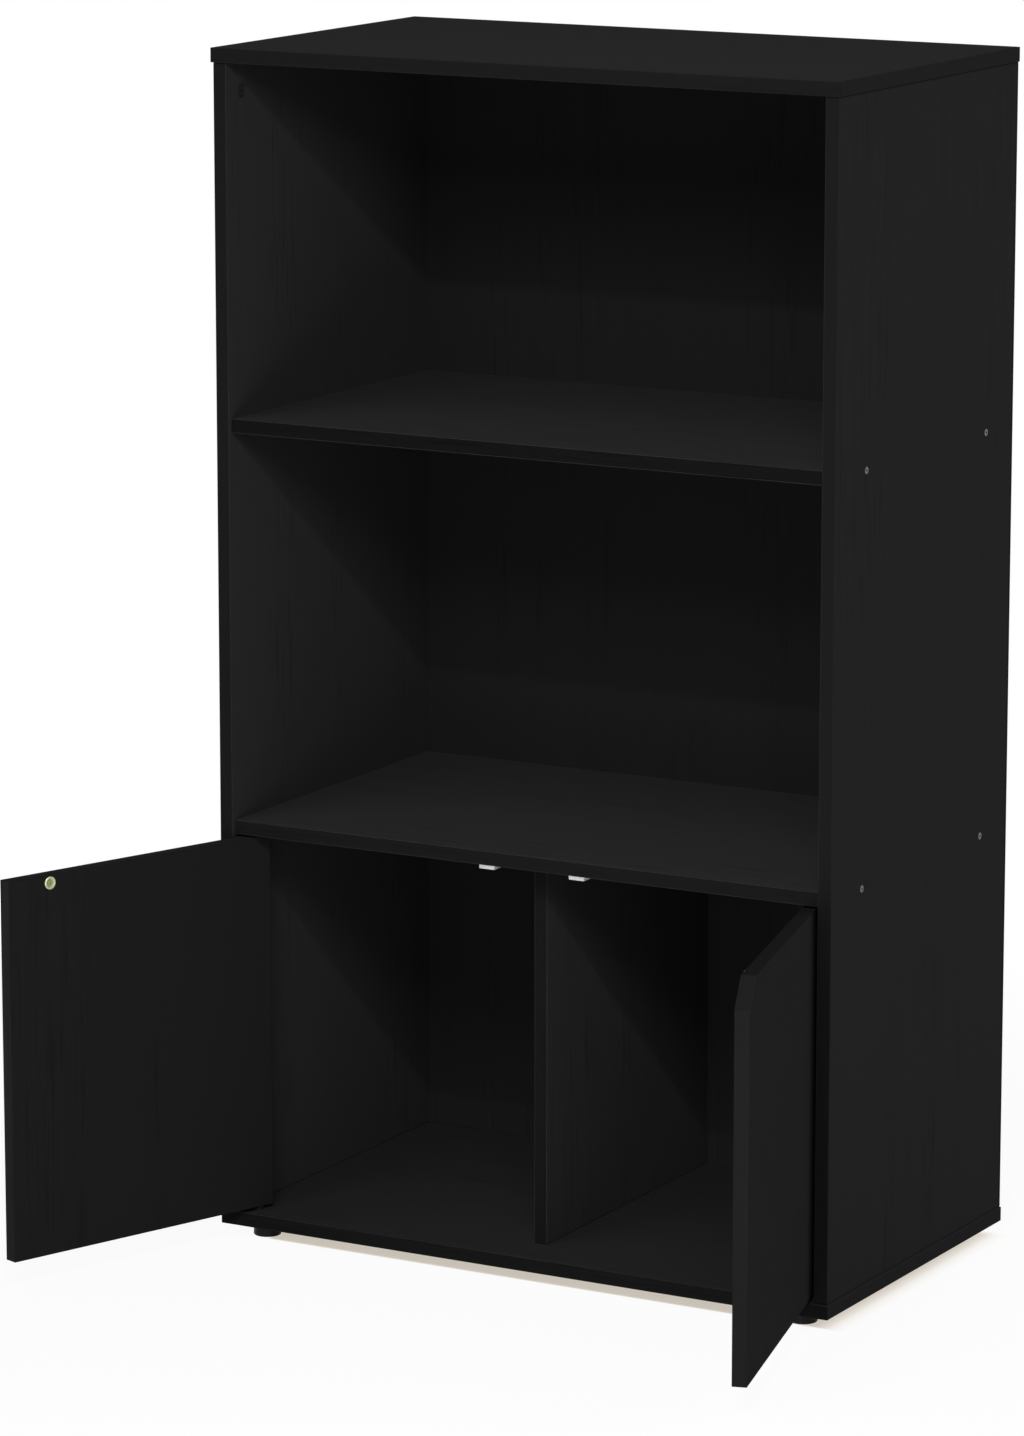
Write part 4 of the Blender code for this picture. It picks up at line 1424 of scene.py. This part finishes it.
@dataclass
class Glides(Fittings):
    """Four round plastic glides, each with the nail that holds it, its head sunk in the foot."""

    radius: float = 0.0145
    height: float = 0.0127
    sole: float = 0.0013
    sole_steps: int = 6
    ease: float = 0.0004
    well: float = 0.0044
    well_depth: float = 0.0018
    nail_head: float = 0.0034
    nail_radius: float = 0.0013
    nail_end: float = 0.0220
    nail_tip: float = 0.0025
    sides: int = 64

    def build(self) -> None:
        """Model one glide and copy it under each corner."""
        model = self.model()
        for row in ROWS:
            for side in SIDES:
                seat(model, f"{row}_{side}_foot", "_moulded", UP, Body.CARCASS, Slot.BLACK_PLASTIC)
        put_away(model)

    def model(self) -> Solid:
        """Turn the glide with a rounded sole, and its nail.

        Returns:
            The model, from the floor along Z.
        """
        ease, sole, deep = self.ease, self.sole, self.well_depth
        flat = self.radius - sole
        arc = [math.pi / 2 * step / self.sole_steps for step in range(self.sole_steps + 1)]
        outline = [
            (0.0, deep * 0.45),
            (self.nail_head * 0.6, deep * 0.5),
            (self.nail_head * 0.9, deep * 0.7),
            (self.nail_head, deep),
            (self.well, deep),
            (self.well, ease),
            (self.well + ease, 0.0),
            *((flat + sole * math.sin(turn), sole - sole * math.cos(turn)) for turn in arc),
            (self.radius - ease / 2, self.height - ease * 2),
            (self.radius - ease, self.height - ease / 2),
            (self.radius - ease * 2, self.height),
            (self.nail_radius, self.height),
            (self.nail_radius, self.nail_end - self.nail_tip),
            (0.0, self.nail_end),
        ]
        glide = turned("glide", outline, self.sides)
        finished(glide, self.finishes.black_plastic, self.finishes.zinc)
        paint_faces(glide, 1, self.on_nail)
        return glide

    def on_nail(self, middle: Vector, _normal: Vector) -> bool:
        """Tell whether a face lies on the nail: on its sunk head, or on what stands out of the glide."""
        outside = not self.height / 2 < middle.z < self.height - WELD
        return outside and middle.xy.length < self.nail_head + WELD


@dataclass
class DoorPivots(Fittings):
    """Pins driven into the doors' edges, and the flanged bushes they turn in."""

    shank_radius: float = 0.0040
    collar_radius: float = 0.0060
    collar: float = 0.0018
    spigot_radius: float = 0.0025
    shank: float = 0.0180
    spline_end: float = 0.0015
    shoulder: float = 0.0004
    ease: float = 0.0006
    edge: float = 0.0003
    gap: float = 0.0003
    flange_radius: float = 0.0065
    flange: float = 0.0015
    wall: float = 0.0014
    bush_sides: int = 48
    splines: int = 18
    groove: float = 0.94

    def build(self) -> None:
        """Copy pins and bushes to both doors."""
        for end, way, collar in (("lower", DOWN, self.collar), ("upper", UP, 0.0)):
            pin = self.pin(f"left_door_{end}_pin", collar)
            bush = self.bush(f"left_{end}_bush")
            for side, body in (("left", Body.LEFT_DOOR), ("right", Body.RIGHT_DOOR)):
                seat(pin, f"{side}_door_{end}_pin", "_driven", way, body, Slot.BLACKENED)
                seat(bush, f"{side}_{end}_bush", "_seated", way, Body.CARCASS, Slot.BLACK_PLASTIC)
            put_away(pin, bush)

    def pin(self, node: str, collar: float) -> Solid:
        """Model a pin: splined shank, collar if it has one, and spigot.

        Args:
            node: A node of its length.
            collar: The collar's thickness, or nought.

        Returns:
            The model, from the end of its shank along Z.
        """
        length = extent(node, UP)
        shank, spigot, ease, edge = self.shank_radius, self.spigot_radius, self.ease, self.edge
        outline = [(0.0, 0.0), (shank - ease, 0.0), (shank, ease), (shank, self.shank - self.spline_end)]
        if collar:
            seated = self.shank + self.gap
            outline += [
                (shank, seated),
                (self.collar_radius - edge, seated),
                (self.collar_radius, seated + edge),
                (self.collar_radius, seated + collar - edge),
                (self.collar_radius - edge, seated + collar),
                (spigot, seated + collar),
            ]
        else:
            outline += [
                (shank, self.shank - self.shoulder),
                (shank - self.shoulder, self.shank),
                (spigot, self.shank),
            ]
        outline += [
            (spigot, length - ease),
            (spigot - ease * 0.3, length - ease * 0.3),
            (spigot - ease, length),
            (0.0, length),
        ]
        pin = turned("door_pin", outline, self.splines * 2)
        widen(pin, self.groove, self.in_groove)
        return finished(pin, self.finishes.blackened)

    def in_groove(self, place: Vector, _normal: Vector) -> bool:
        """Tell whether a corner lies between two splines of the shank."""
        odd = round(math.atan2(place.y, place.x) / math.pi * self.splines) % 2 == 1
        on_shank = place.xy.length > self.shank_radius - self.ease / 2
        return odd and on_shank and place.z < self.shank - self.spline_end / 2

    def bush(self, node: str) -> Solid:
        """Model a bush, eased at its mouth.

        Args:
            node: A node of its length.

        Returns:
            The model, from its flange along Z.
        """
        length = extent(node, UP)
        bore = self.spigot_radius + self.gap
        sleeve = bore + self.wall
        edge = self.edge
        outline = [
            (bore + edge, 0.0),
            (self.flange_radius - edge, 0.0),
            (self.flange_radius, edge),
            (self.flange_radius, self.flange - edge),
            (self.flange_radius - edge, self.flange),
            (sleeve, self.flange),
            (sleeve, length - edge),
            (sleeve - edge, length),
            (bore, length),
            (bore, edge),
            (bore + edge, 0.0),
        ]
        return finished(turned("door_bush", outline, self.bush_sides), self.finishes.black_plastic)


@dataclass
class Catches(Fittings):
    """Magnetic catches under the middle shelf: a white housing, its magnet between poles, and its screw."""

    screw: Solid
    block: float = 0.016
    lug_height: float = 0.0045
    wall: float = 0.0015
    ease: float = 0.0009
    pole: float = 0.0010
    pole_inset: float = 0.0004
    pole_ease: float = 0.00015
    screw_radius: float = 0.0026
    hole_radius: float = 0.0016
    hole_sides: int = 32
    gap: float = 0.0003
    sink_rim: float = 0.0004
    sink: float = 0.0013
    past: float = 0.001  # how far a cutter runs past a face

    def build(self) -> None:
        """Build both catches."""
        for side in SIDES:
            self.housing(side)
            self.magnet(side)
            seat(self.screw, f"{side}_catch_screw", "_driven", UP, Body.CARCASS, Slot.YELLOW_ZINC)

    def housing(self, side: str) -> None:
        """Model a housing: a block whose upper rear is drawn out into a screw lug.

        Args:
            side: Which catch.
        """
        node = f"{side}_catch_housing"
        low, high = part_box(node)
        rear = low.y + self.block
        lug = high.z - self.lug_height
        piece = block(node + "_moulded", low, Vector((high.x, rear, high.z)))
        edit(piece)
        bpy.ops.mesh.bisect(plane_co=(0.0, 0.0, lug), plane_no=UP)
        pick(piece, Pick.FACES, lambda middle, normal: normal.y > 0.5 and middle.z > lug)
        bpy.ops.mesh.extrude_region_move(TRANSFORM_OT_translate={"value": (0.0, high.y - rear, 0.0)})
        close_edit()
        round_edges(piece, self.ease, 3)
        wall = self.wall
        inner = Vector((high.x - wall, rear - wall, high.z + self.past * 2))
        cut(piece, block("magnet_pocket", low + Vector((wall, wall, wall)), inner))
        wide, end = self.screw_radius + self.gap, self.lug_height + self.past
        outline = [
            (0.0, -self.past),
            (wide, -self.past),
            (wide, self.sink_rim),
            (self.hole_radius, self.sink),
            (self.hole_radius, end),
            (0.0, end),
        ]
        hole = turned("screw_hole", outline, self.hole_sides)
        move_to(hole, Matrix.Translation(start_of(f"{side}_catch_screw", UP)))
        cut(piece, hole)
        settle(finished(piece, self.finishes.white_plastic), Body.CARCASS, Slot.WHITE_PLASTIC, node)

    def magnet(self, side: str) -> None:
        """Model a magnet as a ferrite block with a steel pole drawn out of each side.

        Args:
            side: Which catch.
        """
        node = f"{side}_catch_magnet"
        low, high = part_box(node)
        pole = RIGHT * self.pole
        piece = block(node + "_poled", low + pole, high - pole)
        edit(piece)
        pick(piece, Pick.FACES, lambda middle, normal: abs(normal.x) > 0.5)
        bpy.ops.mesh.inset(thickness=self.pole_inset, use_individual=True)
        bpy.ops.mesh.extrude_faces_move(TRANSFORM_OT_shrink_fatten={"value": self.pole})
        close_edit()
        round_edges(piece, self.pole_ease, 2)
        finished(piece, self.finishes.ferrite, self.finishes.zinc)
        inner = (low.x + high.x) / 2
        reach = (high.x - low.x) / 2 - self.pole + WELD
        paint_faces(piece, 1, lambda middle, normal: abs(middle.x - inner) > reach)
        settle(piece, Body.CARCASS, Slot.FERRITE, node)


@dataclass
class Strikes(Fittings):
    """Round strike plates on the doors' inner faces: dished, with a pale rim that is partly a painted
    highlight, and a screw in the middle.
    """

    screw: Solid
    boards: Boards
    nodes: dict[str, Solid]
    radius: float = 0.0066
    thickness: float = 0.0016
    dish_radius: float = 0.0044
    dish: float = 0.0004
    ease: float = 0.0002
    hole: float = 0.0016
    sink: float = 0.0013
    sink_radius: float = 0.0029
    sides: int = 64

    def build(self) -> None:
        """Build both strikes with their screws, turned as the boards say the doors are."""
        plate = self.plate()
        for side, body, turn in (
            ("left", Body.LEFT_DOOR, self.boards.left_turn),
            ("right", Body.RIGHT_DOOR, self.boards.right_turn),
        ):
            inward = Matrix.Rotation(turn, 3, "Z") @ BACK
            node = f"{side}_strike_plate"
            seated = BoardLay.of(self.nodes[node], turn).middle - inward * (self.thickness / 2)
            settle(copy_to(plate, node + "_pressed", seated, inward), body, Slot.YELLOW_ZINC, node)
            node = f"{side}_strike_screw"
            head = BoardLay.of(self.nodes[node], turn).middle + inward * (SMALL_SCREW.length / 2)
            settle(copy_to(self.screw, node + "_driven", head, -inward), body, Slot.YELLOW_ZINC, node)
        put_away(plate)

    def plate(self) -> Solid:
        """Turn the plate with a rounded rim round its dish.

        Returns:
            The model, from its seat along Z.
        """
        top, ease = self.thickness, self.ease
        floor = top - self.dish
        outline = [
            (self.hole, 0.0),
            (self.hole, top - self.sink),
            (self.sink_radius, floor - ease / 2),
            (self.sink_radius + ease, floor),
            (self.dish_radius - ease, floor),
            (self.dish_radius + ease, floor + ease),
            (self.dish_radius + ease * 3, top - ease / 2),
            (self.dish_radius + ease * 5, top),
            (self.radius - ease * 4, top),
            (self.radius - ease * 1.5, top - ease),
            (self.radius, top - ease * 3),
            (self.radius, ease),
            (self.radius - ease, 0.0),
            (self.hole, 0.0),
        ]
        return finished(turned("strike_plate", outline, self.sides), self.finishes.strike_zinc)


@dataclass
class BackNails(Fittings):
    """Small nails that hold the back sheet to the sides, panels and shelves."""

    head_radius: float = 0.0018
    head: float = 0.0004
    shank_radius: float = 0.0006
    shank: float = 0.0022
    point: float = 0.0004
    sides: int = 16
    pitch: float = 0.11
    inset: float = 0.030

    def build(self) -> None:
        """Model one nail, copy it along each board's rear edge, and join the copies."""
        model = self.model()
        copies = [copy_to(model, "nail", place, -BACK) for place in self.places()]
        put_away(model)
        take(*copies)
        bpy.ops.object.join()
        nails = bpy.context.object
        nails.name = "back_sheet_nails"
        nails.data.name = nails.name
        settle(nails, Body.CARCASS, Slot.ZINC)

    def model(self) -> Solid:
        """Turn a nail.

        Returns:
            The model, its shank along Z.
        """
        outline = [
            (0.0, -self.head),
            (self.head_radius * 0.8, -self.head),
            (self.head_radius, -self.head * 0.5),
            (self.head_radius, 0.0),
            (self.shank_radius, 0.0),
            (self.shank_radius, self.shank),
            (0.0, self.shank + self.point),
        ]
        return finished(turned("nail", outline, self.sides), self.finishes.zinc)

    def places(self) -> list[Vector]:
        """List where the nails are driven, on the sheet's rear face.

        Returns:
            The nails' places.
        """
        low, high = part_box("back_panel")
        found = []
        for side in ("left_side_panel", "right_side_panel"):
            at_x = middle_of(side).x
            found += [Vector((at_x, high.y, at)) for at in self.row(low.z, high.z)]
        for shelf in ("top_panel", "upper_shelf", "middle_shelf", "bottom_panel"):
            at_z = middle_of(shelf).z
            found += [Vector((at, high.y, at_z)) for at in self.row(low.x + self.pitch, high.x - self.pitch)]
        return found

    def row(self, start: float, end: float) -> list[float]:
        """Space nails along one board.

        Args:
            start: Where the board starts.
            end: Where it ends.

        Returns:
            The nails' places along it.
        """
        first, last = start + self.inset, end - self.inset
        count = max(2, round((last - first) / self.pitch) + 1)
        return [first + (last - first) * index / (count - 1) for index in range(count)]


@dataclass(frozen=True)
class Softbox:
    """A square area lamp that looks at the unit; its level is that of a white card held there to face it."""

    name: str
    place: Point
    size: float
    level: float
    aim: Point = (0.0, 0.1, 0.6)

    def build(self) -> None:
        """Hang the lamp."""
        data = bpy.data.lights.new(self.name, "AREA")
        data.shape = "SQUARE"
        data.size = self.size
        reach = Vector(self.aim) - Vector(self.place)
        data.energy = math.pi**2 * reach.length_squared * self.level
        lamp = bpy.data.objects.new(self.name, data)
        bpy.context.scene.collection.objects.link(lamp)
        lamp.location = self.place
        lamp.rotation_mode = "QUATERNION"
        lamp.rotation_quaternion = reach.to_track_quat("-Z", "Y")
        lamp.visible_camera = False
        LOG.info("%s hung", self.name)


@dataclass
class Studio:
    """Plain pale floor, soft light and a white surround."""

    ambient: float = 0.15
    floor_size: float = 120.0
    floor_tint: Colour = grey(0.88)
    # Painted shadow under the bottom panel: there the floor's glow is tinted tan and dimmed, fading in over
    # the spans below, measured inward from each edge of the panel.
    painted_shadow_tint: Colour = (1.0, 0.91, 0.79, 1.0)
    painted_shadow_glow: float = 0.55
    near_glow: float = 0.935
    front_shade: Span = (0.0105, 0.0135)
    left_shade: Span = (0.049, 0.052)
    right_shade: Span = (-0.015, 0.025)
    rear_shade: Span = (0.0, 0.020)
    far: Span = (0.8, 2.0)
    softboxes: tuple[Softbox, ...] = (
        Softbox("key_lamp", (1.6, -3.03, 3.195), size=0.08, level=0.175),
        Softbox("key_softbox", (1.0, -3.03, 2.70), size=0.85, level=0.259),
        Softbox("right_key_softbox", (2.0, -3.03, 2.70), size=0.85, level=0.112),
        Softbox("left_key_softbox", (-1.0, -3.03, 2.70), size=0.85, level=0.059),
        Softbox("high_left_softbox", (-1.4, -1.8, 3.6), size=1.6, level=0.119),
        Softbox("right_front_softbox", (3.4, -3.4, 1.9), size=2.4, level=0.054),
        Softbox("front_softbox", (0.2, -4.8, 1.6), size=2.4, level=0.070),
        Softbox("right_rear_softbox", (3.6, 2.6, 2.2), size=2.4, level=0.42),
        Softbox("low_fill", (0.3, -1.1, 0.25), size=0.4, level=0.210),
        Softbox("rear_softbox", (0.0, 2.4, 0.55), size=0.5, level=0.420, aim=(0.0, 0.4, 0.6)),
    )

    def build(self) -> None:
        """Build floor, lamps and surround."""
        self.floor()
        self.surround()
        for softbox in self.softboxes:
            softbox.build()
        bpy.context.scene.view_settings.view_transform = "Standard"

    def seen(self, w: Wiring) -> Socket:
        """Tell whether a ray shows the surround: from the camera, in a reflection or through glass.

        Args:
            w: The wiring that asks.

        Returns:
            One if it does, or else nought.
        """
        path = w.node("ShaderNodeLightPath").outputs
        shown = w.math("MAXIMUM", path["Is Camera Ray"], path["Is Glossy Ray"])
        return w.math("MAXIMUM", shown, path["Is Transmission Ray"])

    def floor(self) -> None:
        """Lay the floor, which glows white to the camera far out, keeps its real shadow near the unit, and
        has a painted tan shadow under the bottom panel.
        """
        bpy.ops.object.select_all(action="DESELECT")
        bpy.ops.mesh.primitive_plane_add(size=self.floor_size)
        floor = bpy.context.object
        floor.name = "floor"
        w = FinishWiring("pale_floor")
        place = w.object_place()
        # Painted shadow: under the bottom panel the glow is dimmer and tan.
        under = self.under(w, place)
        bare = w.remap(w.vector("LENGTH", place).outputs["Value"], self.far, (self.near_glow, 1.0))
        glow = w.math("MULTIPLY_ADD", under, w.math("SUBTRACT", self.painted_shadow_glow, bare), bare)
        matte = {"Base Color": self.floor_tint, "Roughness": 1.0, "Specular IOR Level": 0.0}
        ground = w.node("ShaderNodeBsdfPrincipled", matte).outputs["BSDF"]
        white = w.node("ShaderNodeEmission", {"Color": w.blend(under, grey(1.0), self.painted_shadow_tint)}).outputs[0]
        shown = w.math("MULTIPLY", self.seen(w), glow)
        w.show(w.node("ShaderNodeMixShader", {0: shown, 1: ground, 2: white}).outputs[0])
        paint(floor, w.material)
        LOG.info("%s laid", floor.name)

    def under(self, w: Wiring, place: Socket) -> Socket:
        """Tell how far a place on the floor lies in the painted shadow under the bottom panel.

        Args:
            w: The floor's wiring.
            place: The place.

        Returns:
            A share from 0 to 1.
        """
        low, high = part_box("bottom_panel")
        x, y, _ = w.axes(place)
        shade = 1.0
        for inward, reach in (
            (w.math("SUBTRACT", x, low.x), self.left_shade),
            (w.math("SUBTRACT", high.x, x), self.right_shade),
            (w.math("SUBTRACT", y, low.y), self.front_shade),
            (w.math("SUBTRACT", high.y, y), self.rear_shade),
        ):
            shade = w.math("MULTIPLY", shade, w.remap(inward, reach, UNIT))
        return shade

    def surround(self) -> None:
        """Make the surround white to the eye and in reflections, and a weak fill light otherwise."""
        world = bpy.data.worlds.new("surround")
        world.use_nodes = True
        bpy.context.scene.world = world
        w = Wiring(world.node_tree)
        level = w.math("MULTIPLY_ADD", self.seen(w), 1.0 - self.ambient, self.ambient)
        background = w.node("ShaderNodeBackground", {"Color": grey(1.0), "Strength": level})
        w.node("ShaderNodeOutputWorld", {"Surface": background.outputs[0]})
        LOG.info("%s lit", world.name)


@dataclass(frozen=True)
class ViewCamera:
    """A long lens at the photograph's viewing angle."""

    place: Point = (2.9836, -5.3441, 1.8297)
    yaw: float = math.radians(29.378)
    pitch: float = math.radians(11.56)
    lens: float = 154.5
    sensor: float = 36.0
    clip_end: float = 500.0

    def build(self) -> None:
        """Set up the camera and make it the scene's."""
        data = bpy.data.cameras.new("view_camera")
        data.lens = self.lens
        data.sensor_width = self.sensor
        data.clip_end = self.clip_end
        camera = bpy.data.objects.new("view_camera", data)
        bpy.context.scene.collection.objects.link(camera)
        level = math.cos(self.pitch)
        ahead = Vector((-math.sin(self.yaw) * level, math.cos(self.yaw) * level, -math.sin(self.pitch)))
        camera.location = self.place
        camera.rotation_mode = "QUATERNION"
        camera.rotation_quaternion = ahead.to_track_quat("-Z", "Y")
        bpy.context.scene.camera = camera
        LOG.info("%s set", camera.name)


def clear_start() -> None:
    """Remove what Blender starts with."""
    for thing in list(bpy.data.objects):
        bpy.data.objects.remove(thing)


def main() -> None:
    """Build the unit's finishes and fittings in order, with its studio."""
    logging.basicConfig(level=logging.INFO, format="%(name)s: %(message)s")
    clear_start()
    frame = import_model()
    ViewCamera().build()
    Studio().build()
    effects = Effects.build()
    finishes = Finishes.build(effects)
    boards = Boards(effects)
    boards.build(frame["nodes"])
    for kind in (CarcassScrews, CamFittings, Dowels, Glides, DoorPivots):
        kind(finishes).build()
    small_screw = SMALL_SCREW.model(finishes.yellow_zinc)
    Catches(finishes, small_screw).build()
    Strikes(finishes, small_screw, boards, frame["nodes"]).build()
    put_away(small_screw)
    BackNails(finishes).build()


if __name__ == "__main__":
    main()
